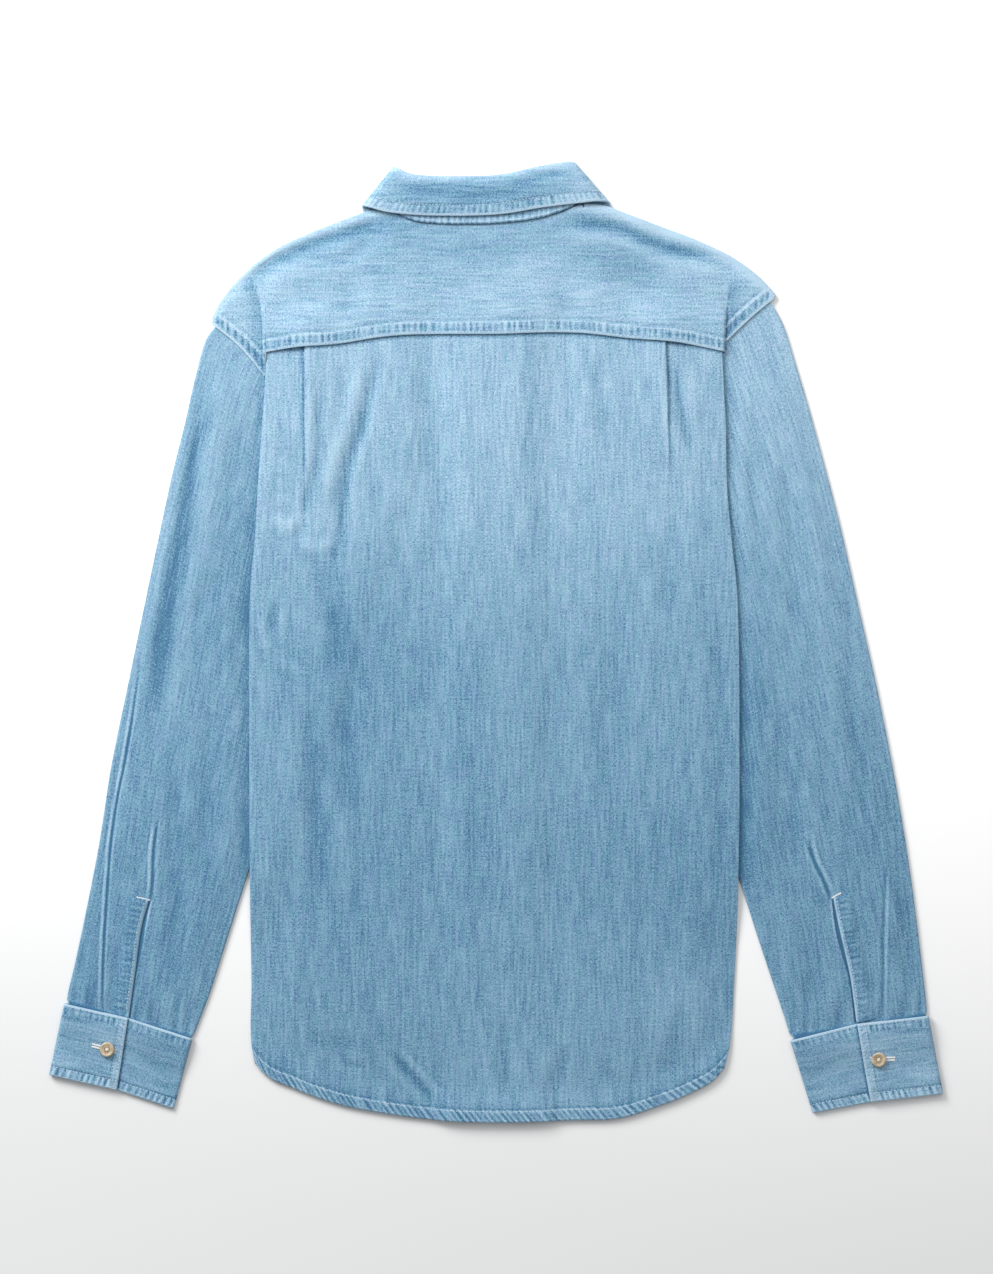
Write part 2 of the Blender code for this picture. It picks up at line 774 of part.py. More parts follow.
def make_button(name, x, y, z, face_up):
    """A round button with a raised rim, lying flat at height z of its lower face."""
    profile = [
        (0.0, 0.0), (0.75, 0.0), (1.0, 0.35),
        (0.95, 0.9), (0.8, 1.0), (0.62, 0.8), (0.0, 0.75),
    ]
    mesh = bpy.data.meshes.new(name)
    shape = bmesh.new()
    points = []
    for reach, level in profile:
        level = level if face_up else 1.0 - level
        points.append(shape.verts.new((reach * BUTTON_RADIUS * MM, 0.0, level * BUTTON_WALL * MM)))
    edges = [shape.edges.new(pair) for pair in zip(points, points[1:])]
    bmesh.ops.spin(
        shape, geom=points + edges, cent=(0, 0, 0), axis=(0, 0, 1), angle=2.0 * math.pi, steps=16
    )
    bmesh.ops.remove_doubles(shape, verts=shape.verts, dist=1e-6)
    bmesh.ops.recalc_face_normals(shape, faces=shape.faces)
    shape.to_mesh(mesh)
    shape.free()
    thing = bpy.data.objects.new(name, mesh)
    thing.location = (x * MM, y * MM, z * MM)
    bpy.context.collection.objects.link(thing)
    mesh.materials.append(finish(name, HORN, 0.45))
    return thing


def make_buttons():
    """The buttons: six down the front, one on the collar stand and one on each cuff."""
    for number in range(FRONT_BUTTON_COUNT):
        y = FRONT_BUTTON_TOP - FRONT_BUTTON_PITCH * number
        make_button(f"front_button_{number + 1}", 0.0, y, 0.0, False)
    make_button("collar_button", 0.0, COLLAR_BUTTON_Y, 0.7, False)
    for name, (x, y), outline in (
        ("cuff_button_left", CUFF_BUTTON_LEFT, CUFF_LEFT),
        ("cuff_button_right", CUFF_BUTTON_RIGHT, CUFF_RIGHT),
    ):
        make_button(name, x, y, cuff_levels(0.4)[2] + CUFF_WALL / 2.0 + SEAM_GAP, True)


def main():
    clear_scene()
    make_back()
    make_front("front_left", False)
    make_front("front_right", True)
    make_placket_band()
    make_yoke()
    make_sleeve("sleeve_left", SLEEVE_LEFT, HEAD_RISE_LEFT)
    make_sleeve("sleeve_right", SLEEVE_RIGHT, HEAD_RISE_RIGHT)
    make_cuff("cuff_left", CUFF_LEFT)
    make_cuff("cuff_right", CUFF_RIGHT)
    make_sleeve_placket("sleeve_placket_left", PLACKET_LEFT)
    make_sleeve_placket("sleeve_placket_right", PLACKET_RIGHT)
    make_collar_stand()
    make_collar_leaf()
    make_buttons()


main()
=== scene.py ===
import bmesh
import bpy
import math
import numpy as np
from mathutils import Matrix, Vector
from mathutils.bvhtree import BVHTree


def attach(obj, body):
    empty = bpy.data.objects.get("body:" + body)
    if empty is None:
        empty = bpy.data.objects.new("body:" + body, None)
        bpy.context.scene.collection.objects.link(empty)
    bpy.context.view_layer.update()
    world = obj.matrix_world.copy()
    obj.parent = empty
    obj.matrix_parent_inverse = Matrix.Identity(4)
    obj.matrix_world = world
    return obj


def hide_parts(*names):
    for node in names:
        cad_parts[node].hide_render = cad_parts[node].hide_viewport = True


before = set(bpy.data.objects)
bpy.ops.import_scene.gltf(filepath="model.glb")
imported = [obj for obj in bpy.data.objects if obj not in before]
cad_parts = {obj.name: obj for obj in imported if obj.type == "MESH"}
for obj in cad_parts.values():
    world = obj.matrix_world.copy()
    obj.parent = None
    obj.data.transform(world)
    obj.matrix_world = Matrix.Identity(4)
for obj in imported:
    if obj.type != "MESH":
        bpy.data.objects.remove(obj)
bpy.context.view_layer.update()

# ---- Back panel -------------------------------------------------------------------------------
# One panel of washed denim from the yoke down to the shaped tails, with a pleat on each side under
# the yoke seam. Lengths are in millimetres: x to the right, y to the collar, z up from the table.
# It is a thin closed wall over the fronts and the sleeves; its creases are listed one by one.

# Millimetres in a metre, the wall of one layer of cloth, the gap between layers, the width of a
# turned hem, its row of stitches, the rise of the cloth inside a pleat, and how far the back
# reaches under the yoke.
MM = 1000.0
WALL = 1.0
GAP = 0.3
HEM = 8.5
HEM_ROW = 8.8
PLEAT_RISE = 2.2
UNDER_YOKE = 8.0

SIDE_EDGES = [
    (245, -188.6, 185.0), (217, -188.8, 186.0), (180, -191.2, 188.0), (125, -195.0, 189.3),
    (82, -197.5, 193.0), (46, -200.8, 197.0), (0, -202.0, 198.8), (-65, -202.0, 199.3),
    (-190, -201.5, 198.5), (-280, -200.2, 195.0), (-335, -199.5, 190.5), (-352, -196.0, 186.5),
    (-400, -190.0, 180.0),
]
HEM_EDGE = [
    (-200, -343), (-190, -354), (-166, -366), (-130, -379), (-90, -387), (-45, -392.5),
    (0, -394), (60, -392.5), (105, -390), (130, -382), (160, -370), (180, -358), (192, -344),
]
YOKE_SEAM = [
    (-192, 235.5), (-165, 240), (-133, 242.5), (-90, 249), (0, 251),
    (67, 252), (110, 247.5), (150, 244), (188, 236.5),
]
SLEEVE_LEFT = [
    (-227.5, 260, -95, 137), (-238, 246, -99, 124), (-247, 214, -108, 96), (-255, 178, -118, 66),
    (-265, 138, -129, 32), (-277, 82, -144, -14), (-290, 20, -159, -60), (-302, -38, -173, -102),
    (-315, -101, -188, -148), (-325, -165, -202, -187), (-336, -222, -219, -240),
    (-345, -264, -233, -284), (-350, -285, -243, -311), (-352, -296, -249, -326),
]
SLEEVE_RIGHT = [
    (226, 275, 95, 137), (236, 256, 99, 124), (247, 221, 107, 96), (257, 188, 116, 66),
    (268, 148, 127, 32), (282, 94, 141, -14), (298, 24, 155, -60), (312, -38, 169, -102),
    (325, -103, 184, -148), (336, -167, 199, -194), (343, -216, 214, -241),
    (349, -265, 228, -283), (352, -291, 237, -310), (353.5, -307, 241.5, -325),
]


def ease(value):
    """Go from 0 to 1 with no corner."""
    value = np.clip(value, 0.0, 1.0)
    return value * value * (3.0 - 2.0 * value)


def between(first, last, share):
    """The value at a share of the way from a first to a last one."""
    return first + (last - first) * share


def fade(value, start, span):
    """1 up to a start, then down to 0 over a span."""
    return 1.0 - ease((value - start) / span)


def streak(value, place, width):
    """1 at a place, and less away from it on both sides."""
    return np.exp(-((value - place) / width) ** 2)


def run_along(points, axis=0):
    """Length along a grid of points, from its first row or column."""
    runs = np.linalg.norm(np.diff(points, axis=axis), axis=-1)
    return np.cumsum(np.insert(runs, 0, 0.0, axis=axis), axis=axis)


def smooth(table, value, column=1):
    """Read a column of a table on a smooth curve through its rows."""
    rows = np.array(sorted(table), float)
    places, levels = rows[:, 0], rows[:, column]
    slopes = np.gradient(levels, places)
    value = np.clip(value, places[0], places[-1])
    row = np.clip(np.searchsorted(places, value, side="right") - 1, 0, len(places) - 2)
    span = places[row + 1] - places[row]
    part = (value - places[row]) / span
    rest = 1.0 - part
    start = (1.0 + 2.0 * part) * rest * rest * levels[row] + part * rest * rest * span * slopes[row]
    end = part * part * (3.0 - 2.0 * part) * levels[row + 1]
    return start + end - part * part * rest * span * slopes[row + 1]


def fine_path(path, step=3.0):
    """Points close together on a smooth curve through a path of points."""
    path = np.array(path, float)
    along = run_along(path[:, :2])
    count = max(3, int(along[-1] / step) + 1)
    spots = np.linspace(0.0, along[-1], count)
    if len(path) == 2:
        return np.stack([np.interp(spots, along, path[:, k]) for k in range(path.shape[1])], axis=1)
    return np.stack(
        [smooth(np.stack([along, path[:, k]], axis=1).tolist(), spots) for k in range(path.shape[1])],
        axis=1,
    )


def to_path(x, y, path):
    """Distance to a path, signed to its left, and the share of the way along it."""
    spots = fine_path(path, 4.0)
    best = np.full(np.shape(x), 1e9)
    signed = np.zeros(np.shape(x))
    share = np.zeros(np.shape(x))
    count = len(spots) - 1
    for number in range(count):
        ax, ay = spots[number][:2]
        dx, dy = spots[number + 1][:2] - spots[number][:2]
        length = math.hypot(dx, dy)
        part = np.clip(((x - ax) * dx + (y - ay) * dy) / length ** 2, 0.0, 1.0)
        away_x, away_y = x - ax - part * dx, y - ay - part * dy
        away = np.hypot(away_x, away_y)
        nearer = away < best
        side = np.sign(dx * away_y - dy * away_x)
        best = np.where(nearer, away, best)
        signed = np.where(nearer, away * side, signed)
        share = np.where(nearer, (number + part) / count, share)
    return signed, share


def creases(x, y, folds):
    """Height and tone of soft folds in the cloth.

    Each fold is a path, its half width, its depth (below 0 for a ridge), how much it leans to its
    left, and how strongly it shows in the colour: painted shade in the trough and painted
    highlight on its rims, partly also denim that stays darker in a crease and wears paler beside it.
    """
    height = np.zeros(np.shape(x))
    tone = np.zeros(np.shape(x))
    for path, width, depth, lean, shade in folds:
        away, share = to_path(x, y, path)
        ends = ease(share * 4.0) * ease((1.0 - share) * 4.0)
        wide = width * np.where(away > 0.0, 1.0 + lean, 1.0 - lean)
        trough = streak(away, 0.0, wide) * ends
        rim = streak(np.abs(away), 2.1 * wide, 0.9 * wide) * ends
        height += depth * (0.35 * rim - trough)
        # Painted shade in the trough and painted highlight on the rims.
        tone += shade * (0.45 * rim - trough)
    return height, tone


def put(name, data):
    """A new object in the scene."""
    thing = bpy.data.objects.new(name, data)
    bpy.context.collection.objects.link(thing)
    return thing


def shell(name, grid, thickness, uv, pale=0.5, tone=0.0, pucker=0.0, seam=0.0, ring=False, skip=None):
    """A closed wall of cloth on a grid of points in the middle of the cloth.

    A ring joins its last column to its first. skip marks the cells that are left out.
    """
    rows, columns = grid.shape[:2]
    if ring:
        wide = np.concatenate([grid[:, -1:], grid, grid[:, :1]], axis=1)
        across = (wide[:, 2:] - wide[:, :-2]) / 2.0
    else:
        across = np.gradient(grid, axis=1)
    normals = np.cross(across, np.gradient(grid, axis=0))
    normals /= np.maximum(np.linalg.norm(normals, axis=2, keepdims=True), 1e-9)
    half = np.broadcast_to(np.asarray(thickness, float), (rows, columns))[..., None] / 2.0
    upper = (grid + normals * half).reshape(-1, 3)
    lower = (grid - normals * half).reshape(-1, 3)
    wrap = columns if ring else columns - 1
    row, column = np.meshgrid(np.arange(rows - 1), np.arange(wrap), indexing="ij")
    keep = np.ones(row.shape, bool) if skip is None else ~skip
    after = (column + 1) % columns
    corners = np.stack(
        [row * columns + column, row * columns + after,
         (row + 1) * columns + after, (row + 1) * columns + column], axis=2,
    )
    u, v = uv
    corner_u, corner_v = u.reshape(-1)[corners], v.reshape(-1)[corners]
    if ring:
        last = column == columns - 1
        girth = u[:, -1] + np.linalg.norm(grid[:, 0] - grid[:, -1], axis=1) / MM
        corner_u[..., 1] = np.where(last, girth[:-1, None], corner_u[..., 1])
        corner_u[..., 2] = np.where(last, girth[1:, None], corner_u[..., 2])
    # Each list below holds the corners of some faces or edges, then their u and their v.
    count = rows * columns
    cells = [values[keep] for values in (corners, corner_u, corner_v)]
    lining = [cells[0][:, ::-1] + count, *(values[:, ::-1] for values in cells[1:])]
    edges = [np.concatenate([values[:, [k, (k + 1) % 4]] for k in range(4)]) for values in cells]
    forward = edges[0][:, 0] * count + edges[0][:, 1]
    backward = edges[0][:, 1] * count + edges[0][:, 0]
    rim = [values[~np.isin(forward, backward)] for values in edges]
    start, end = rim[0].T
    sides = [
        np.stack([end, start, start + count, end + count], axis=1),
        *(values[:, [1, 0, 0, 1]] for values in rim[1:]),
    ]
    faces, face_u, face_v = (np.concatenate(parts) for parts in zip(cells, lining, sides))
    used, place = np.unique(faces, return_inverse=True)
    points = np.concatenate([upper, lower])[used] / MM
    mesh = bpy.data.meshes.new(name)
    mesh.from_pydata(points.tolist(), [], place.reshape(-1, 4).tolist())
    layer = mesh.uv_layers.new(name="cloth")
    loops = np.stack([face_u, face_v], axis=2).reshape(-1)
    layer.data.foreach_set("uv", loops.astype(np.float32))
    for label, values in (("pale", pale), ("tone", tone), ("pucker", pucker), ("seam", seam)):
        values = np.broadcast_to(np.asarray(values, float), (rows, columns)).reshape(-1)
        attribute = mesh.attributes.new(label, "FLOAT", "POINT")
        attribute.data.foreach_set("value", np.concatenate([values, values])[used].astype(np.float32))
    mesh.shade_smooth()
    mesh.update()
    return put(name, mesh)


def tune(node, levels):
    """Set inputs of a node, each to a value or joined to the output of another node."""
    for socket, level in levels.items():
        if isinstance(level, bpy.types.NodeSocket):
            node.id_data.links.new(level, node.inputs[socket])
        else:
            node.inputs[socket].default_value = level


def add_node(tree, kind, levels=None, **settings):
    """A new node in a tree, with its settings and inputs."""
    node = tree.nodes.new(kind)
    for label, value in settings.items():
        setattr(node, label, value)
    tune(node, levels or {})
    return node


def colour_ramp(tree, level, stops):
    """The colour that a level has between places on a ramp."""
    ramp = add_node(tree, "ShaderNodeValToRGB", {"Fac": level})
    elements = ramp.color_ramp.elements
    for element, (place, colour) in zip(elements, (stops[0], stops[-1])):
        element.position = place
        element.color = (*colour, 1.0)
    for place, colour in stops[1:-1]:
        elements.new(place).color = (*colour, 1.0)
    return ramp.outputs["Color"]


def new_material(name, levels):
    """A new material, with its tree and its shader."""
    material = bpy.data.materials.new(name)
    material.use_nodes = True
    shader = material.node_tree.nodes["Principled BSDF"]
    tune(shader, levels)
    return material, material.node_tree, shader


def washed_denim_group():
    """Shared look of washed denim: slubby warp, weft, blotches, and worn creases and puckers with painted
    shade and highlight.
    """
    group = bpy.data.node_groups.new("washed_denim", "ShaderNodeTree")
    for label, way, kind in (
        ("Cloth", "INPUT", "Vector"), ("Pale", "INPUT", "Float"), ("Tone", "INPUT", "Float"),
        ("Pucker", "INPUT", "Float"), ("Seam", "INPUT", "Float"),
        ("Colour", "OUTPUT", "Color"), ("Normal", "OUTPUT", "Vector"),
    ):
        group.interface.new_socket(name=label, in_out=way, socket_type="NodeSocket" + kind)
    entry = add_node(group, "NodeGroupInput").outputs

    def chain(operation, first, *others):
        """The sum or the product of several values."""
        for other in others:
            first = add_node(group, "ShaderNodeMath", {0: first, 1: other}, operation=operation).outputs[0]
        return first

    def add(*values):
        return chain("ADD", *values)

    def times(*values):
        return chain("MULTIPLY", *values)

    def noise(place, levels):
        return add_node(group, "ShaderNodeTexNoise", {"Vector": place, **levels}).outputs["Fac"]

    def threads(scale, detail, strength):
        """Noise stretched along the threads, centred on 0."""
        mapping = add_node(group, "ShaderNodeMapping", {"Scale": scale, "Vector": entry["Cloth"]})
        uneven = noise(mapping.outputs[0], {"Scale": 1.0, "Detail": detail})
        return times(add(uneven, -0.5), strength)

    slub = threads((520.0, 36.0, 1.0), 2.0, 0.84)
    warp = threads((1700.0, 600.0, 1.0), 1.0, 1.40)
    weft = threads((480.0, 1700.0, 1.0), 1.0, 1.20)
    bars = threads((60.0, 620.0, 1.0), 1.0, 0.36)
    blotch = threads((92.0, 15.0, 1.0), 2.0, 0.34)
    spot = add_node(group, "ShaderNodeCombineXYZ", {"X": entry["Seam"]}).outputs[0]
    wave = add_node(group, "ShaderNodeTexWave", {
        "Scale": 62.0, "Distortion": 5.0, "Detail": 1.0, "Detail Scale": 0.7, "Vector": spot,
    }, bands_direction="X")
    patches = times(noise(entry["Cloth"], {"Scale": 95.0}), 2.0)
    small = times(noise(spot, {"Scale": 210.0, "Detail": 1.0}), 1.5)
    # Puckered seams: pale ridges with darker cloth between. This is worn cloth, and also painted shade and
    # highlight for puckers that the cloth does not model.
    rope_and_shade = times(add(times(wave.outputs["Fac"], 0.5), small, -1.0), entry["Pucker"], patches)
    grain = times(add(slub, warp, weft, bars, blotch), add(times(entry["Pale"], 0.8), 0.65))
    # Tone adds the painted shade and highlight of folds, edges and seams.
    level = add(entry["Pale"], entry["Tone"], grain, times(rope_and_shade, 0.78))
    # The colour of the cloth, painted shade and highlight included.
    dye_and_shade = colour_ramp(group, level, [
        (0.0, (0.045, 0.150, 0.265)), (0.33, (0.156, 0.318, 0.446)),
        (0.80, (0.290, 0.462, 0.605)), (1.0, (0.400, 0.565, 0.690)),
    ])
    tint = add_node(group, "ShaderNodeHueSaturation", {
        "Hue": add(threads((170.0, 60.0, 1.0), 2.0, 0.05), 0.503), "Color": dye_and_shade,
    })
    bump = add_node(group, "ShaderNodeBump", {
        "Strength": 0.5, "Distance": 0.0006, "Height": add(slub, warp, times(rope_and_shade, 1.3)),
    })
    add_node(group, "NodeGroupOutput", {"Colour": tint.outputs["Color"], "Normal": bump.outputs[0]})
    return group


denim_look = washed_denim_group()


def denim(name):
    """Washed denim on the cloth of one kind of piece."""
    material, tree, shader = new_material(name, {
        "Roughness": 0.93, "Specular IOR Level": 0.15, "Sheen Weight": 0.12, "Sheen Roughness": 0.6,
    })
    levels = {"Cloth": add_node(tree, "ShaderNodeUVMap", uv_map="cloth").outputs["UV"]}
    for label in ("Pale", "Tone", "Pucker", "Seam"):
        value = add_node(tree, "ShaderNodeAttribute", attribute_name=label.lower())
        levels[label] = value.outputs["Fac"]
    weave = tree.nodes.new("ShaderNodeGroup")
    weave.node_tree = denim_look
    tune(weave, levels)
    tune(shader, {"Base Color": weave.outputs["Colour"], "Normal": weave.outputs["Normal"]})
    return material


def wearing(thing, cloth, nodes):
    """Give a piece its cloth, and fix it to the shirt in place of its plain solid."""
    thing.data.materials.append(cloth)
    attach(thing, "root")
    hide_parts(*nodes)


def side_edge(y, right):
    """x of the side edge of the body."""
    return smooth(SIDE_EDGES, y, 2 if right else 1)


def sleeve_under(x, y):
    """1 where a sleeve holds the body up, easing to 0 past its inner edge."""
    left = sorted((row[3], -row[2]) for row in SLEEVE_LEFT)
    right = sorted((row[3], row[2]) for row in SLEEVE_RIGHT)
    inner = np.where(x < 0, smooth(left, y), smooth(right, y))
    near = fade(inner - np.abs(x), 16.0, 45.0)
    return near * ease((y + 262.0) / 70.0)


def button_lift(y):
    """How high the buttons hold the placket off the table. The cloth settles below the last one."""
    return 2.3 * ease((y + 320.0) / 95.0)


def front_support(x, y):
    """Height of the lower face of the fronts, over buttons, collar leaf and sleeves."""
    buttons = (1.3 + button_lift(y)) * fade(np.abs(x), 20.0, 45.0)
    leaf = 2.4 * ease((y - 215.0) / 35.0) * fade(np.abs(x), 116.0, 30.0)
    shoulder = 3.9 * sleeve_under(x, y) * fade(y, 274.0, 18.0)
    return np.maximum(np.maximum(buttons, leaf), shoulder)


def hem_wall(x, y):
    """Wall of a body panel, thicker where the hem is turned up."""
    return WALL + 0.9 * fade(y - smooth(HEM_EDGE, x), HEM, 1.6)


def front_stack(x, y):
    """Height of the upper face of the two fronts."""
    wall = WALL + 0.9 * fade(y - smooth(HEM_EDGE, x), 11.0, 18.0)
    return front_support(x, y) + wall + (wall + GAP) * fade(np.abs(x), 38.0, 16.0)


# Pleats: x at the yoke, x at the lower end, y of the lower end.
PLEATS = [(-157.0, -156.0, 80.0), (139.5, 143.5, 110.0)]


def pleat_line(y, top_x, low_x, low_y):
    """x of the fold of a pleat, carried on to the hem."""
    return between(low_x, top_x, np.clip((y - low_y) / (240.0 - low_y), -4.0, 1.2))


def pleat_rise(x, y):
    """Extra height of the middle of the back inside its two pleats."""
    rise = np.zeros(np.shape(x))
    for top_x, low_x, low_y in PLEATS:
        along = (y - low_y) / (smooth(YOKE_SEAM, top_x) - low_y)
        line = pleat_line(y, top_x, low_x, low_y)
        inward = (x - line) if top_x < 0 else (line - x)
        step = ease(inward / 1.1) * fade(inward, 1.6, 34.0)
        rise = np.maximum(rise, PLEAT_RISE * step * ease(along * 1.4))
    return rise


BACK_FOLDS = [
    ([(-92, 246), (-97, 226), (-104, 198), (-110, 172), (-119, 150), (-124, 120), (-126, 84), (-134, 48)],
     5.5, 1.3, -0.25, 0.26),
    ([(-110, 232), (-114, 205), (-121, 176), (-130, 150), (-134, 118)], 5.0, -0.6, 0.0, -0.12),
    ([(-141, 226), (-144, 205), (-146, 180), (-146, 152), (-152, 127), (-157, 104), (-162, 84)],
     4.2, 0.9, 0.2, 0.20),
    ([(-154, 99), (-160, 89), (-167, 83)], 4.5, 0.9, 0.0, 0.24),
    ([(-184, 103), (-174, 96), (-164, 93)], 5.0, -0.6, 0.0, -0.22),
    ([(-160, 78), (-146, 77), (-132, 84)], 4.5, -0.6, 0.0, -0.20),
    ([(-142, 76), (-137, 40), (-128, 0), (-124, -30)], 9.0, 0.7, 0.0, 0.13),
    ([(-182, 34), (-182, 20), (-185, 8)], 3.5, 0.6, 0.0, 0.20),
    ([(-194, 20), (-192, 8), (-184, -10)], 4.0, -0.6, 0.0, -0.14),
    ([(-180, -12), (-170, -20), (-156, -28)], 4.0, -0.6, 0.0, -0.12),
    ([(-190, 200), (-188, 150), (-192, 100), (-196, 40)], 4.5, -0.4, 0.0, -0.10),
    ([(145, 232), (148, 206), (152, 184), (157, 165), (162, 148)], 5.0, 0.9, 0.0, 0.32),
    ([(143, 116), (141, 80), (136, 40), (134, 10)], 7.0, 0.6, 0.2, 0.10),
    ([(-60, 238), (-56, 180), (-50, 120), (-49, 60)], 9.0, 0.5, 0.2, 0.09),
    ([(30, 246), (33, 200), (30, 150), (36, 90), (32, 40)], 9.0, 0.6, -0.2, 0.12),
    ([(86, 240), (84, 200), (90, 160)], 8.0, 0.4, 0.0, 0.08),
    ([(-150, -40), (-152, -100), (-147, -160), (-150, -230)], 8.0, 0.8, 0.2, 0.15),
    ([(-120, -20), (-124, -90), (-118, -150)], 8.0, 0.5, 0.0, 0.08),
    ([(90, 60), (96, 0), (92, -70), (97, -150)], 12.0, 0.5, 0.0, 0.07),
    ([(-20, 20), (-26, -70), (-18, -160), (-24, -260)], 12.0, 0.5, 0.2, 0.06),
    ([(176, 40), (180, -40), (184, -120), (182, -210)], 8.0, 0.5, 0.0, 0.09),
    ([(-88, -333), (-77, -346), (-61, -364), (-43, -386)], 3.0, 0.9, -0.4, 0.30),
    ([(-82, -328), (-71, -342), (-55, -360), (-36, -380)], 2.0, -0.5, 0.0, -0.24),
    ([(-131, -340), (-119, -346), (-104, -349)], 2.8, 0.6, 0.0, 0.17),
    ([(-150, -322), (-130, -330), (-108, -326)], 6.0, 0.4, 0.0, 0.09),
    ([(60, -330), (50, -356), (40, -380)], 6.0, 0.5, 0.0, 0.10),
    ([(152, -290), (148, -324), (138, -358)], 6.0, 0.5, 0.0, 0.11),
    ([(10, -300), (6, -340), (12, -376)], 7.0, 0.4, 0.0, 0.07),
]


def back_height(x, y):
    """Middle of the back panel."""
    to_side = np.minimum(x - side_edge(y, False), side_edge(y, True) - x)
    from_hem = y - smooth(HEM_EDGE, x) - 9.0
    half = 0.5 + 0.45 * fade(from_hem, 2.0, 18.0)
    low = front_stack(x, y) + GAP + half + 0.5 * (0.4 + 0.6 * ease((y - 120.0) / 60.0))
    high = np.maximum(5.2, low + 0.5)
    share = ease(to_side / 42.0) * ease(from_hem / 75.0)
    return between(low, high, share) + pleat_rise(x, y)


# Paler and darker patches of the body cloth: x, y, width, height and amount. Some are washed fading; others
# are painted shade and highlight over soft folds.
WASH_AND_SHADE_SPOTS = [
    (-125, -60, 26, 110, -0.10), (150, -290, 30, 34, 0.14),
    (-170, 95, 22, 16, 0.13), (-128, 92, 26, 14, 0.08),
    (145, 140, 40, 46, 0.07), (-180, 230, 26, 40, -0.06), (30, 250, 20, 50, -0.06), (95, 250, 18, 60, -0.06),
    (-65, 190, 12, 60, -0.05), (-95, 20, 40, 50, -0.05), (30, 305, 18, 12, 0.14), (180, 300, 30, 16, 0.12),
    (125, 322, 26, 12, -0.12), (-180, 275, 30, 24, 0.05), (0, 275, 26, 16, 0.08), (60, -40, 60, 60, -0.04),
]


def wash_and_shade(x, y):
    """How pale the body cloth is washed: palest at the shoulders, deeper down the back, with patches partly
    of painted shade and highlight.
    """
    down = smooth([
        (-400, 0.37), (-340, 0.34), (-260, 0.31), (-180, 0.29), (-100, 0.36), (-20, 0.385), (50, 0.475),
        (110, 0.585), (170, 0.665), (240, 0.725), (275, 0.76), (305, 0.66), (335, 0.53), (360, 0.50),
    ], y)
    for spot_x, spot_y, wide, tall, amount in WASH_AND_SHADE_SPOTS:
        down += amount * streak(x, spot_x, wide) * streak(y, spot_y, tall)
    return down + 0.03 * np.sin(x / 47.0 + 0.6) + 0.02 * np.sin(y / 61.0 + x / 83.0)


def spread(knots, pitch, dense):
    """Places from the first knot to the last, closer together round the dense spots."""
    places = [knots[0]]
    while places[-1] < knots[-1]:
        near = min([abs(places[-1] - spot) for spot in dense] or [1e9])
        places.append(places[-1] + (0.45 if near < 2.6 else pitch))
    places[-1] = knots[-1]
    return np.array(places)


# Places across the back: its left side, the folds of its two pleats and its right side.
U_LEFT, U_FOLD_LEFT, U_FOLD_RIGHT, U_RIGHT = -190.0, -157.0, 140.0, 186.0
back_u = spread([U_LEFT, U_RIGHT], 1.85, [U_FOLD_LEFT, U_FOLD_RIGHT])
back_v = np.concatenate([np.linspace(0.0, 12.0, 9)[:-1] / 640.0, np.linspace(12.0 / 640.0, 1.0, 158)])
u_grid, v_grid = np.meshgrid(back_u, back_v)
y_grid = np.zeros_like(u_grid)
x_grid = u_grid * 1.05
for repeat in range(3):
    low = smooth(HEM_EDGE, x_grid)
    y_grid = between(low, smooth(YOKE_SEAM, np.clip(x_grid, -190, 187)) + UNDER_YOKE, v_grid)
    left_fold = pleat_line(y_grid, *PLEATS[0])
    right_fold = pleat_line(y_grid, *PLEATS[1])
    x_grid = between(left_fold, right_fold, (u_grid - U_FOLD_LEFT) / (U_FOLD_RIGHT - U_FOLD_LEFT))
    outer = between(side_edge(y_grid, False), left_fold, (u_grid - U_LEFT) / (U_FOLD_LEFT - U_LEFT))
    x_grid = np.where(u_grid < U_FOLD_LEFT, outer, x_grid)
    outer = between(right_fold, side_edge(y_grid, True), (u_grid - U_FOLD_RIGHT) / (U_RIGHT - U_FOLD_RIGHT))
    x_grid = np.where(u_grid > U_FOLD_RIGHT, outer, x_grid)
fold_height, fold_tone = creases(x_grid, y_grid, BACK_FOLDS)
to_side = np.minimum(x_grid - side_edge(y_grid, False), side_edge(y_grid, True) - x_grid)
from_hem = y_grid - smooth(HEM_EDGE, x_grid)
flat_rim = ease(to_side / 10.0) * ease((from_hem - 9.0) / 14.0)
z_grid = back_height(x_grid, y_grid) + fold_height * flat_rim - 0.45 * fade(to_side, 0.0, 4.0)
# Painted shade and highlight of the folds, and a pale line along each side edge: worn, with painted
# highlight on the fold.
tone = fold_tone * flat_rim + 0.09 * fade(np.abs(to_side - 1.0), 0.0, 2.5)
hem_zone = fade(from_hem, HEM, 3.0)
# Painted shade along the upper edge of the turned hem. The pale bottom fold is worn, with painted highlight.
# The pale line under the row of stitches is the colour of the thread.
tone += -0.02 * hem_zone - 0.26 * streak(from_hem, 10.6, 1.2)
tone += 0.30 * streak(from_hem, 0.0, 1.4) + 0.34 * streak(from_hem, 8.8, 0.9)
below_yoke = smooth(YOKE_SEAM, x_grid) - y_grid
# Painted shadow of the folded edge of the yoke on the back, just below the seam.
tone -= 0.55 * streak(below_yoke, 0.2, 1.6)
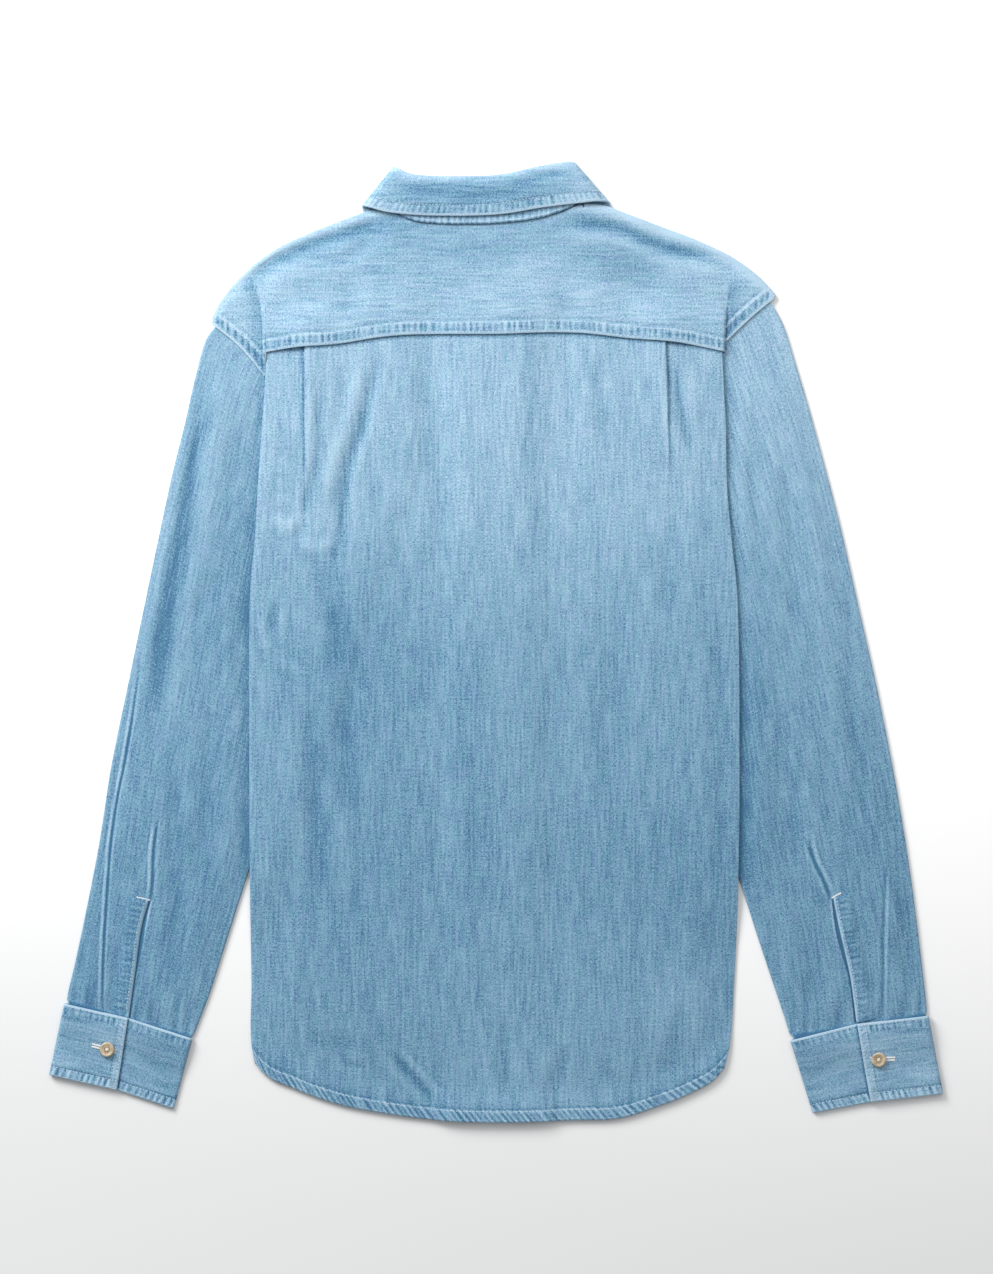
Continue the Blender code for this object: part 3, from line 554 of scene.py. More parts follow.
# At each pleat: painted highlight on the raised fold and painted shadow on the cloth beside it.
for top_x, low_x, low_y in PLEATS:
    inward = (x_grid - pleat_line(y_grid, top_x, low_x, low_y)) * (1.0 if top_x < 0 else -1.0)
    shown = ease((y_grid - low_y) / 90.0)
    tone += shown * (0.20 * streak(inward, 2.4, 1.8) - 0.50 * streak(inward, -0.7, 1.6))
back = shell(
    "back_panel", np.stack([x_grid, y_grid, z_grid], axis=2), hem_wall(x_grid, y_grid),
    (x_grid / MM, y_grid / MM), wash_and_shade(x_grid, y_grid), tone, hem_zone * 1.15,
    (x_grid + 0.8 * from_hem) / MM,
)
body_cloth = denim("body_denim")
wearing(back, body_cloth, ["back"])

# ---- Yoke -------------------------------------------------------------------------------------
# One piece of denim over both shoulders, its threads running across. Its lower edge is folded
# under and sewn over the back with two rows of stitches, its outer ends cover the sleeve heads,
# and it rolls over the shoulders to the underside.

SHOULDER = [
    (-233.5, 261), (-229, 272), (-222, 283), (-207, 300), (-183, 319), (-150, 335), (-118, 347),
    (-107, 351), (-96, 354), (-84, 356), (0, 358), (72, 358), (84, 357), (93, 355), (102, 351.5),
    (133, 340), (167, 327), (197, 312), (217, 296.5), (225, 288), (229.5, 282.5),
]
BACK_NECK = [(-84, 349), (-67, 342.5), (-40, 340.3), (0, 340.8), (30, 344), (50, 348.3), (68, 355)]
ARMHOLE_LEFT = [(-233.5, 260), (-212, 242.5), (-202, 232), (-190, 217)]
ARMHOLE_RIGHT = [(186.5, 243), (200, 256.5), (213, 268.5), (229, 281.5)]
TUCK_LINE = [(215, -191.0, 187.0), (240, -191.6, 188.0), (275, -194.0, 190.0), (300, -202.0, 193.0)]
YOKE_FOLDS = [
    ([(-70, 347), (-105, 339), (-150, 325), (-185, 310), (-202, 296), (-217, 283)], 5.5, 1.3, 0.2, 0.34),
    ([(-84, 331), (-104, 325), (-124, 315), (-161, 312)], 5.0, 0.9, 0.0, 0.20),
    ([(42, 342), (80, 341), (104, 337), (130, 326), (150, 320), (170, 316), (208, 301)],
     5.5, 1.4, 0.0, 0.44),
    ([(58, 322), (90, 310), (118, 300), (142, 292)], 12.0, 0.6, 0.0, 0.19),
    ([(48, 300), (52, 285), (60, 266)], 8.0, 0.5, 0.0, 0.13),
    ([(-40, 322), (0, 318), (28, 322)], 9.0, 0.4, 0.0, 0.07),
    ([(-130, 300), (-122, 280), (-126, 262)], 7.0, 0.4, 0.0, 0.07),
    ([(-98, 296), (-92, 276), (-94, 258)], 6.0, 0.4, 0.0, 0.08),
]


def inside_tuck(x, y):
    """How far a point lies inside the tuck that runs down from each shoulder."""
    return np.where(x > 0, smooth(TUCK_LINE, y, 2) - x, x - smooth(TUCK_LINE, y, 1))


def over_leaf(x):
    """How much the collar leaf under it lifts the front of the yoke."""
    return 2.4 * fade(np.abs(x), 116.0, 22.0)


def yoke_height(x, y):
    """Middle of the yoke on the upper side."""
    inward = inside_tuck(x, y)
    seam = smooth(YOKE_SEAM, x)
    low_y = np.minimum(y, seam + UNDER_YOKE)
    rise = np.zeros(np.shape(x))
    for top_x in (pleat[0] for pleat in PLEATS):
        inside = (x - top_x) if top_x < 0 else (top_x - x)
        rise = np.maximum(rise, PLEAT_RISE * ease((inside + 30.0) / 30.0) * fade(inside, 2.0, 34.0))
    over_back = back_height(x, low_y) - pleat_rise(x, low_y) + rise + 1.6
    over_neck = 1.9 * ease((y - 258.0) / 22.0) * fade(np.abs(x), 84.0, 36.0)
    rest = 5.8 + over_neck
    inner = between(over_back, rest, ease((y - seam - 11.0) / 34.0))
    inner = np.maximum(np.maximum(inner, 5.8), rest)
    step = 2.0 + 22.0 * ease((y - 266.0) / 30.0)
    raised = between(4.4, inner, ease(inward / step) * ease((y - seam + 3.5) / 3.5))
    to_shoulder = smooth(SHOULDER, x) - y
    reach = 34.0 - 22.0 * ease((np.abs(x) - 185.0) / 20.0)
    edge = 3.0 + over_leaf(x) + 1.5 * fade(np.abs(x), 84.0, 25.0)
    rolled = between(edge, raised, ease((to_shoulder - 2.0) / reach))
    from_neck = np.maximum(-85.0 - x, x - 71.0)
    return between(raised, rolled, ease(from_neck / 18.0))


yoke_x = spread([-232.0, 228.6], 1.75, [-191.0, -188.2, 189.0])
at_neck = (yoke_x > -85.0) & (yoke_x < 71.0)
yoke_low = np.where(
    yoke_x < -188.2, smooth(ARMHOLE_LEFT, yoke_x),
    np.where(yoke_x > 188.0, smooth(ARMHOLE_RIGHT, yoke_x), smooth(YOKE_SEAM, yoke_x)),
)
shoulder = smooth(SHOULDER, yoke_x)
roll = np.minimum(4.0, (shoulder - yoke_low) * 0.35)
yoke_high = np.where(at_neck, smooth(BACK_NECK, yoke_x) + 1.5, shoulder - roll)
floor_z = 0.5 + over_leaf(yoke_x)
top_z = yoke_height(yoke_x, yoke_high)
depth = np.minimum(34.0, (shoulder - yoke_low) * 0.6)
shares = np.concatenate([np.linspace(0.0, 0.12, 12), np.linspace(0.12, 1.0, 52)[1:]])
rows = []
for share in shares:
    y_row = between(yoke_low, yoke_high, share)
    rows.append(np.stack([yoke_x, y_row, yoke_height(yoke_x, y_row)], axis=1))
upper_rows = len(rows)
for angle in np.linspace(0.0, math.pi, 11)[1:-1]:
    rows.append(np.stack([
        yoke_x, shoulder - roll + roll * math.sin(angle),
        (top_z + floor_z) / 2.0 + (top_z - floor_z) / 2.0 * math.cos(angle),
    ], axis=1))
for share in np.linspace(0.0, 1.0, 12):
    rows.append(np.stack([yoke_x, shoulder - roll - (depth - roll) * share, floor_z], axis=1))
yoke_grid = np.stack(rows)
x_grid, y_grid = yoke_grid[:upper_rows, :, 0], yoke_grid[:upper_rows, :, 1]
fold_height, fold_tone = creases(x_grid, y_grid, YOKE_FOLDS)
seam_path = [(x, float(smooth(YOKE_SEAM, x))) for x in range(-190, 189, 14)]
to_seam = np.abs(to_path(x_grid, y_grid, seam_path)[0])
to_arm = np.minimum(
    np.abs(to_path(x_grid, y_grid, ARMHOLE_LEFT)[0]), np.abs(to_path(x_grid, y_grid, ARMHOLE_RIGHT)[0])
)
inside = ((x_grid > -191.6) & (y_grid > 234.0)) & (x_grid < 187.5)
to_edge = np.where(inside, to_seam, to_arm)
band = fade(to_edge, 9.5, 2.0)
past_tuck = -inside_tuck(x_grid, y_grid)
flat_rim = ease((to_edge - 8.0) / 12.0)
tone, lift, pucker = np.zeros((3, *yoke_grid.shape[:2]))
lift[:upper_rows] = fold_height * flat_rim + 0.15 * band
lift[:upper_rows] -= 0.35 * streak(to_edge, 11.0, 1.2)
# The painted shade beside each shoulder tuck shows only below the shoulders.
shaded = fade(y_grid, 288.0, 14.0)
# Painted shade and highlight of the folds; pale folded edges of the yoke seam and armholes, worn, with
# painted highlight; darker seam bands; a pale line by the upper row of stitches and painted shade in the
# groove beside it.
tone[:upper_rows] = (
    fold_tone * flat_rim + 0.62 * streak(to_edge, 0.0, 1.7) - 0.16 * band
    + 0.28 * streak(to_edge, 9.6, 1.1) - 0.16 * streak(to_edge, 12.0, 1.1)
    + ~inside * (
        0.30 * streak(to_edge, 0.0, 1.5) + 0.34 * streak(to_edge, 9.4, 1.0)
        - 0.14 * streak(to_edge, 5.2, 2.4)
    )
    # Painted shade beside each tuck, and a painted highlight on its edge.
    - 0.30 * shaded * streak(past_tuck, 4.0, 5.5)
    - 0.34 * shaded * streak(past_tuck, 0.0, 1.2)
    + 0.12 * shaded * streak(past_tuck, -2.8, 1.8)
    # A pale rim along the shoulders: painted highlight where the cloth rolls over, partly worn, more on the
    # right.
    + 0.42 * streak(smooth(SHOULDER, x_grid) - y_grid, 1.5, 5.5)
    + 0.22 * ease((x_grid - 80.0) / 30.0) * streak(smooth(SHOULDER, x_grid) - y_grid, 6.0, 6.0)
)
# Painted highlight on the roll over the shoulders. It is stronger on the right, where the key light from the
# left falls off.
tone[upper_rows:upper_rows + 6] = 0.45 + 0.30 * ease(yoke_x / 90.0)
pucker[:upper_rows] = 1.15 * band * ease((to_edge - 1.5) / 2.0) * ease((11.0 - to_edge) / 2.5)
yoke_grid[:, :, 2] += lift
hidden = np.zeros((yoke_grid.shape[0] - 1, yoke_grid.shape[1] - 1), bool)
hidden[upper_rows - 1:] = at_neck[:-1] | at_neck[1:]
along = run_along(yoke_grid) + yoke_low
yoke = shell(
    "yoke_cloth", yoke_grid, WALL, (along / MM, yoke_grid[:, :, 0] / MM),
    wash_and_shade(yoke_grid[:, :, 0], yoke_grid[:, :, 1]) - 0.02, tone, pucker, yoke_grid[:, :, 0] / MM,
    skip=hidden,
)
wearing(yoke, denim("yoke_denim"), ["yoke"])

# ---- Sleeves ----------------------------------------------------------------------------------
# Two tubes of the same denim, flattened on the table. Their heads lie under the yoke, their inner
# parts under the body, and their lower ends go up into the cuffs, with a small pleat beside the
# slit. Long soft folds follow the arm.

# Folds of the sleeves. The narrow pairs at the pleats and slits are a dark line of painted shadow beside a
# pale line of painted highlight on the folded edge.
SLEEVE_FOLDS_LEFT = [
    ([(-238, 238), (-247, 166), (-254, 118), (-259, 82), (-266, 46), (-273, 10), (-279, -38), (-288, -98)],
     8.0, 1.3, 0.0, 0.28),
    ([(-290, -2), (-296, -50), (-304, -100), (-310, -129), (-314.4, -159), (-318.4, -209), (-321.5, -268),
      (-322.5, -330)], 1.1, 0.8, -0.2, 0.90),
    ([(-293, -6), (-298.5, -50), (-306.5, -100), (-316.8, -159), (-320.8, -209), (-323.9, -268),
      (-325, -330)], 1.0, -0.3, 0.0, -0.24),
    ([(-240, 216), (-256, 152), (-271, 82), (-280, 35), (-288, -12), (-296, -50)], 5.0, -0.3, 0.0, -0.17),
    ([(-276, -140), (-280.4, -175), (-281.4, -199), (-283.4, -222)], 1.3, 0.8, 0.0, 0.6),
    ([(-280, -146), (-283.6, -178), (-284.0, -199), (-285.4, -214)], 1.1, -0.4, 0.0, -0.36),
    ([(-208, 200), (-213, 140), (-216, 80), (-219, 20)], 9.0, 0.8, 0.0, 0.08),
    ([(-232, -40), (-236, -100), (-242, -160), (-246, -210)], 9.0, 0.8, 0.2, 0.07),
    ([(-258, -90), (-264, -150), (-262, -220), (-268, -290)], 8.0, 0.8, 0.0, 0.08),
    ([(-222, 60), (-236, 40), (-252, 12)], 6.0, 0.6, 0.0, 0.06),
    ([(-340, -190), (-344, -235), (-343, -280)], 5.0, 0.6, 0.0, 0.08),
    ([(-300, -230), (-308, -262), (-310, -300)], 5.0, 0.5, 0.0, 0.08),
]
SLEEVE_FOLDS_RIGHT = [
    ([(206, 190), (212, 130), (217, 70), (220, 10)], 8.0, 0.8, 0.0, 0.08),
    ([(236, 150), (240, 96), (242, 50), (246, -10)], 9.0, 1.0, 0.0, 0.10),
    ([(321.6, -172), (320.6, -215), (319.8, -249), (319.2, -320)], 1.0, -0.3, 0.0, -0.22),
    ([(318.6, -176), (317.8, -215), (317.0, -249), (316.4, -320)], 1.4, 0.7, 0.0, 0.20),
    ([(254, -160), (260.6, -181), (267.6, -195), (276, -216)], 1.4, 0.8, 0.0, 0.60),
    ([(258, -152), (264, -178), (271, -193), (278, -208)], 1.3, -0.4, 0.0, -0.24),
    ([(282, 20), (290, -40), (298, -100), (304, -160)], 8.0, 0.9, 0.0, 0.07),
    ([(230, -50), (236, -100), (240, -150), (238, -200)], 9.0, 0.8, 0.0, 0.06),
    ([(250, -215), (254, -255), (262, -305)], 7.0, 0.7, 0.0, 0.08),
    ([(334, -200), (337, -240), (337, -290)], 6.0, 0.7, 0.0, 0.08),
    ([(268, 110), (276, 76), (287, 30)], 6.0, 0.6, 0.0, 0.07),
    ([(300, -60), (313, -110), (322, -160)], 6.0, 0.6, 0.0, 0.06),
]


def sleeve_wash_and_shade(x, y):
    """How pale a sleeve is washed, from the armhole down to the cuff, with painted shade on the left sleeve
    and beside the body.
    """
    pale = smooth([
        (-330, 0.33), (-260, 0.28), (-180, 0.27), (-100, 0.31), (-20, 0.39), (60, 0.48),
        (130, 0.58), (200, 0.67), (270, 0.74),
    ], y) + 0.02 * np.sin(x / 23.0) * np.sin(y / 57.0 + 1.0)
    # Painted shade: the left sleeve is darker, to offset the key light from the left.
    pale -= (x < 0) * (0.13 * ease((y + 60.0) / 90.0) + 0.05 * fade(y, -240.0, 60.0))
    # Painted shadow of the body's right edge on the right sleeve.
    return pale - 0.12 * streak(x, 212.0, 14.0) * streak(y, -60.0, 110.0)


def stations(table, count):
    """Each column of a table as a smooth run through its rows."""
    steps = np.linspace(0.0, len(table) - 1.0, count)
    return [
        smooth([(number, row[column]) for number, row in enumerate(table)], steps)
        for column in range(len(table[0]))
    ]


def sleeve(name, table, head_rise, folds, slit, nodes):
    """A flattened tube from the armhole to the cuff, with its end inside the cuff."""
    count = len(table) - 1
    steps = np.linspace(0.0, count, 172)
    lines = stations(table, 172)
    at_cuff = ease((steps - (count - 0.3)) / 0.3)
    low, high = 0.5 + 2.2 * at_cuff, 2.9 + 1.1 * at_cuff
    shrink = 2.0 * at_cuff
    head = np.clip(1.0 - steps / 3.0, 0.0, 1.0)
    start = np.stack(lines[:2], axis=1)
    end = np.stack(lines[2:], axis=1)
    drop = np.stack([end[-1, 1] - start[-1, 1], start[-1, 0] - end[-1, 0]])
    drop *= np.sign(-drop[1]) / np.linalg.norm(drop)
    start = np.concatenate([start, [start[-1] + drop * 3.5, start[-1] + drop * 7.0]])
    end = np.concatenate([end, [end[-1] + drop * 3.5, end[-1] + drop * 7.0]])
    low, high, shrink, head, steps = (
        np.append(row, [row[-1]] * 2) for row in (low, high, shrink, head, steps)
    )
    length = np.linalg.norm(end - start, axis=1)
    direction = (end - start) / length[:, None]
    radius = (high - low) / 2.0
    inset = 0.5 + shrink
    run = length - 2.0 * (inset + radius)

    def level_part(steps, level):
        return [(inset + radius + run * step, level) for step in steps]

    def round_part(centre, angles):
        return [
            (centre + radius * math.cos(angle), (high + low) / 2.0 + radius * math.sin(angle))
            for angle in np.radians(angles)
        ]

    rows = level_part(np.linspace(0.0, 1.0, 150), high)
    rows += round_part(length - inset - radius, [60.0, 30.0, 0.0, -30.0, -60.0])
    rows += level_part(np.linspace(1.0, 0.0, 38), low)
    rows += round_part(inset + radius, [240.0, 210.0, 180.0, 150.0, 120.0])
    along = np.stack([row[0] for row in rows], axis=1)
    z = np.stack([row[1] for row in rows], axis=1)
    x = start[:, :1] + direction[:, :1] * along
    y = start[:, 1:] + direction[:, 1:] * along
    part = np.clip((x - start[:, :1]) / (end[:, :1] - start[:, :1]), 0.0, 1.0)
    y = y + head_rise * head[:, None] * np.sin(math.pi * part ** 0.6)
    upper = (np.arange(len(rows)) < 150) * 1.0
    past_body = np.where(x > 0, x - side_edge(y, True), side_edge(y, False) - x)
    to_edge = np.minimum(along, length[:, None] - along)
    open_part = ease((past_body - 2.0) / 16.0) + fade(y, -262.0, 70.0)
    room = np.clip(open_part, 0.0, 1.0) * ease((to_edge - 1.0) / 22.0) * ease((235.0 - y) / 40.0)
    room *= ease((count + 0.2 - steps[:, None]) / 1.6)
    fold_height, fold_tone = creases(x, y, folds)
    z = z + upper * (1.5 * room + fold_height * np.minimum(1.0, room * 1.6))
    under = 1.0 - upper
    z = z + under * 0.25 * (1.0 + np.sin(x / 14.0 + y / 31.0)) * ease(to_edge / 20.0)
    # Painted shade and highlight of the folds, and paler along the folded edges: worn, with painted
    # highlight.
    tone = upper * fold_tone + 0.08 * streak(to_edge, 1.0, 2.2)
    # Painted shadow of the body's edge on the sleeve beside it.
    tone = tone - upper * 0.24 * streak(past_body, 1.0, 6.0)
    # The open slit: painted shade where it gapes, also sunk a little, and a pale line along its edge.
    away, share = to_path(x, y, slit)
    inside = away * (1.0 if table[0][0] < 0 else -1.0)
    gap = 0.9 + 1.8 * np.sin(math.pi * np.clip(share / 0.62, 0.0, 1.0))
    wedge = upper * ease(share * 30.0) * ease((inside + 1.0) / 1.0) * fade(inside, gap, 1.2)
    wedge = wedge * (share < 0.995)
    facing = upper * streak(inside - gap, 1.5, 0.9) * ease(share * 30.0) * (1.0 - ease(share * 1.6))
    z = z - 1.2 * wedge
    tone = tone - 1.6 * wedge + 0.65 * facing
    # Painted shadow of the cuff's edge on the sleeve.
    seam = (count - steps[:, None]) * 12.0
    tone = tone - upper * 0.55 * streak(seam, 0.4, 1.6)
    # Gathers into the cuff: small ripples with painted shade and highlight on them.
    gathered = upper * fade(seam, 3.0, 22.0) * ease(seam / 3.0)
    crimp = np.sin(along / 2.1 + 1.9 * np.sin(along / 8.0) + seam / 9.0)
    tone = tone + gathered * 0.13 * crimp
    z = z + gathered * 0.25 * crimp
    if table[0][0] > 0:
        x, y, z, tone = (row[::-1] for row in (x, y, z, tone))
    grid = np.stack([x, y, z], axis=2)
    u = run_along(grid, 1)
    v = run_along(grid).mean(axis=1, keepdims=True) + 0.0 * u
    thing = shell(name, grid, WALL, (u / MM, v / MM), sleeve_wash_and_shade(x, y), tone, 0.0, ring=True)
    wearing(thing, sleeve_cloth, nodes)
    return thing


sleeve_cloth = denim("sleeve_denim")
PLACKET_LEFT = [(-284.4, -212), (-289.4, -229.4), (-295.4, -269.4), (-301.0, -309)]
PLACKET_RIGHT = [(276.2, -210), (280.0, -229.4), (290.2, -275.0), (295.4, -312.6)]
left_sleeve = sleeve(
    "left_sleeve", SLEEVE_LEFT, 5.0, SLEEVE_FOLDS_LEFT, PLACKET_LEFT, ["sleeve_left"],
)
right_sleeve = sleeve(
    "right_sleeve", SLEEVE_RIGHT, 18.0, SLEEVE_FOLDS_RIGHT, PLACKET_RIGHT, ["sleeve_right"],
)

# ---- Cuffs ------------------------------------------------------------------------------------
# A stiff doubled band round the end of each sleeve, lapped and buttoned on the upper side. Its
# threads run along it. The edges are topstitched and worn pale, with painted highlight on them
# and painted shade in the stitch grooves and beside the lap, and pucker between the stitches.

CUFF_WALL = 1.6
CUFF_LEFT = [
    (-353.5, -296.5), (-301, -308.5), (-248.5, -325.5),
    (-366, -355), (-310.5, -367.5), (-264, -383),
]
CUFF_RIGHT = [
    (354.2, -306.5), (295.3, -313.3), (241, -327),
    (366.3, -370.5), (306.8, -377.5), (259.5, -386.5),
]


def level_run(first, last, level, steps):
    """Points at one height between a first and a last place."""
    return [(*between(first, last, step), level) for step in steps]


def round_edge(centre, outward, low, high, angles):
    """Points round a folded edge, from one height to the other."""
    return [
        (*(centre + outward * 2.4 * math.cos(angle)), (low + high + (high - low) * math.sin(angle)) / 2.0)
        for angle in np.radians(angles)
    ]


def cuff(name, outline, node):
    """One cuff: an open strip that starts at the lap, goes round and ends under the lap."""
    shares = np.concatenate([
        np.linspace(0.0, 0.18, 11), np.linspace(0.18, 0.82, 22)[1:-1], np.linspace(0.82, 1.0, 12),
    ])
    corners = np.array(outline, float)
    bend = [60.0, 30.0, 0.0, -30.0, -60.0]
    rows = []
    for share in shares:
        outer, lap, inner = between(corners[:3], corners[3:], share)
        inside = 2.9 * fade(share, 0.12, 0.5) + 0.7
        low = 0.8
        high = low + CUFF_WALL + inside
        over = high + 1.9
        outward = (outer - lap) / np.linalg.norm(outer - lap)
        inward = (inner - lap) / np.linalg.norm(inner - lap)
        start = outer - outward * 3.2
        end = inner - inward * 3.2
        line = level_run(lap, start, over, np.linspace(0.0, 1.0, 40))
        line += round_edge(start, outward, low, over, bend)
        line += level_run(start, lap, low, np.linspace(0.0, 1.0, 16)[:-1])
        line += level_run(lap, end, low, np.linspace(0.0, 1.0, 16))
        line += round_edge(end, inward, low, high, bend[::-1])
        line += level_run(lap, end, high, np.linspace(1.0, 0.0, 40))
        line += level_run(lap, between(lap, start, 0.4), high, np.linspace(0.0, 1.0, 9)[1:])
        rows.append(line)
    grid = np.array(rows)
    tall = np.linalg.norm(corners[4] - corners[1])
    from_seam = np.broadcast_to(shares[:, None] * tall, grid.shape[:2])
    from_edge = tall - from_seam
    along = run_along(grid, 1)
    edge_line = fade(from_edge, 6.6, 1.2)
    seam_line = ease((from_seam - 1.6) / 1.0) * fade(from_seam, 7.0, 2.5)
    lap_line = fade(along, 5.6, 1.2)
    groove = streak(from_edge, 7.6, 0.9) + streak(along, 6.6, 0.9)
    groove += 0.6 * streak(along, 1.9, 0.6) + 0.7 * streak(from_seam, 2.4, 0.8)
    body = ease(from_edge / 10.0) * ease(from_seam / 10.0)
    columns = np.arange(grid.shape[1])
    lap_spot = between(corners[1], corners[4], shares[:, None])
    beside_lap = np.hypot(grid[:, :, 0] - lap_spot[:, :1], grid[:, :, 1] - lap_spot[:, 1:])
    beside_lap = np.where(columns > 80, beside_lap, 99.0)
    wave = np.sin(along / 11.0 + 0.8 * np.sin(from_seam / 9.0)) * np.sin(from_seam / 13.0 + 0.5)
    grid[:, :, 2] += -0.28 * groove * (grid[:, :, 2] > 3.0) + 0.25 * wave * body * (grid[:, :, 2] > 3.0)
    # Pale edges, worn, with painted highlight; painted shade in the stitch grooves; a painted shadow of the
    # lap on the cloth beside it; painted shade and highlight on the soft waves.
    tone = (
        0.12 * edge_line + 0.35 * streak(from_edge, 0.0, 1.2) - 0.38 * streak(from_edge, 7.8, 1.1)
        + 0.74 * fade(from_seam, 0.8, 1.0) - 0.04 * seam_line
        - 0.5 * streak(beside_lap, 0.0, 1.6)
        + 0.20 * lap_line + 0.65 * streak(along, 0.0, 1.0) - 0.20 * streak(along, 2.0, 0.7)
        - 0.26 * streak(along, 6.8, 0.9) + 0.07 * wave * body
        + 0.05 * np.sin(from_seam / 2.3 + np.sin(along / 17.0)) * body
    )
    pucker = 1.6 * edge_line * ease(from_edge / 1.5 + 0.3) + 0.9 * seam_line + 0.4 * lap_line * body
    seam = (along + np.where(from_edge < 9.0, 0.2 * from_edge, 0.0)) / MM
    seam = seam + 0.00025 * np.where(lap_line > 0.3, from_seam * 3.0, 0.0) * body
    pale = 0.46 + 0.06 * (outline[0][0] > 0) - 0.09 * (along > 90.0)
    v = from_seam / MM + 0.7
    if outline[0][0] > 0:
        grid, along, v, tone, pucker, seam, pale = (
            row[::-1] for row in (grid, along, v, tone, pucker, seam, pale)
        )
    thing = shell(name, grid, CUFF_WALL, (v, along / MM), pale, tone, pucker, seam)
    wearing(thing, cuff_cloth, [node])
    return thing


cuff_cloth = denim("cuff_denim")
left_cuff = cuff("left_cuff", CUFF_LEFT, "cuff_left")
right_cuff = cuff("right_cuff", CUFF_RIGHT, "cuff_right")

# ---- Sleeve plackets --------------------------------------------------------------------------
# A narrow faced strip along the outer side of each slit, from the bar tack down into the cuff. It
# lies on the sleeve and thins out into it along its outer edge.


def resting(thing, x, y, from_below=False):
    """Height of the surface of a piece at each point, in mm, from above or from below."""
    mesh = thing.data
    tree = BVHTree.FromPolygons([v.co for v in mesh.vertices], [p.vertices for p in mesh.polygons])
    start, way = (-0.02, 1.0) if from_below else (0.05, -1.0)
    levels = []
    for spot_x, spot_y in zip(np.ravel(x), np.ravel(y)):
        hit = tree.ray_cast(Vector((spot_x / MM, spot_y / MM, start)), Vector((0.0, 0.0, way)))[0]
        levels.append(hit.z * MM if hit else (levels[-1] if levels else 0.0))
    return np.reshape(levels, np.shape(x))


def sleeve_placket(name, path, wide, under, node):
    """A strip on a sleeve from its slit outwards, following the sleeve under it."""
    spots = fine_path(path, 1.8)
    side = -1.0 if spots[0, 0] < 0 else 1.0
    across = np.linspace(0.0, wide, 13)
    x = spots[:, :1] + side * across
    y = spots[:, 1:] + 0.18 * across
    z = resting(under, x, y)
    for repeat in range(3):
        z[1:-1] = (z[:-2] + z[1:-1] * 2.0 + z[2:]) / 4.0
    z = z + 0.62
    merge = ease((across - wide + 7.0) / 7.0)
    z = z - 0.95 * merge
    grid = np.stack([x, y, z], axis=2)
    along = np.linspace(0.0, np.hypot(*(spots[-1] - spots[0])), len(spots))[:, None] + 0.0 * across
    # Pale along the folded edge of the slit: worn, with painted highlight; a darker line beside the
    # stitches.
    tone = 1.05 * streak(across, 0.3, 1.1) - 0.12 * streak(across, 3.2, 1.0) - 0.02
    pucker = 0.55 * ease((across - 2.0) / 2.0) * fade(across, 8.0, 6.0)
    layers = np.broadcast_arrays(tone, pucker, sleeve_wash_and_shade(x, y), along, 0.9 - 0.65 * merge)
    grid, tone, pucker, pale, along, wall = (
        row[::-1, ::-1] if side < 0 else row[::-1] for row in (grid, *layers)
    )
    thing = shell(
        name, grid, wall, (grid[:, :, 0] / MM + 0.3, along / MM), pale, tone, pucker, along / MM
    )
    wearing(thing, sleeve_cloth, [node])
    return thing


left_placket = sleeve_placket("left_placket", PLACKET_LEFT, 17.0, left_sleeve, "sleeve_placket_left")
right_placket = sleeve_placket("right_placket", PLACKET_RIGHT, 17.0, right_sleeve, "sleeve_placket_right")

# ---- Collar -----------------------------------------------------------------------------------
# The stand is the band round the neck and the leaf folds down over it. The leaf's free edge is
# turned and topstitched. The points of the collar lie on the underside, round the front neck.

LEAF_WALL = 1.8
STAND_WALL = 1.4
# Leaf: roll x, roll y, edge x, edge y, roll height, edge height, from the left point to the right.
COLLAR_LEAF = [
    (-7, 322, -44, 258, 1.2, 1.0), (-30, 336, -66, 274, 1.2, 1.0), (-54, 354, -86, 304, 1.2, 1.0),
    (-72, 370, -98, 331, 1.4, 1.0), (-82, 382, -106.5, 347, 2.4, 1.1),
    (-84, 387, -109.3, 355.5, 5.6, 4.6), (-81, 386.5, -104, 354.5, 9.6, 10.0),
    (-68, 381, -86, 350, 10.8, 11.2), (-42, 379.3, -52, 347.5, 11.0, 11.2),
    (0, 380.3, 0, 348.3, 11.0, 11.2), (32, 386.7, 36, 353.8, 11.0, 11.2),
    (52, 390.5, 66, 357.5, 10.8, 11.2), (62, 391.2, 84, 359.3, 9.6, 10.0),
    (66, 389, 92.5, 358.5, 5.6, 4.6), (67, 383, 93, 352, 2.4, 1.1), (62, 371, 87, 333, 1.4, 1.0),
    (50, 354, 79, 306, 1.2, 1.0), (30, 336, 64, 278, 1.2, 1.0), (7, 322, 46, 262, 1.2, 1.0),
]
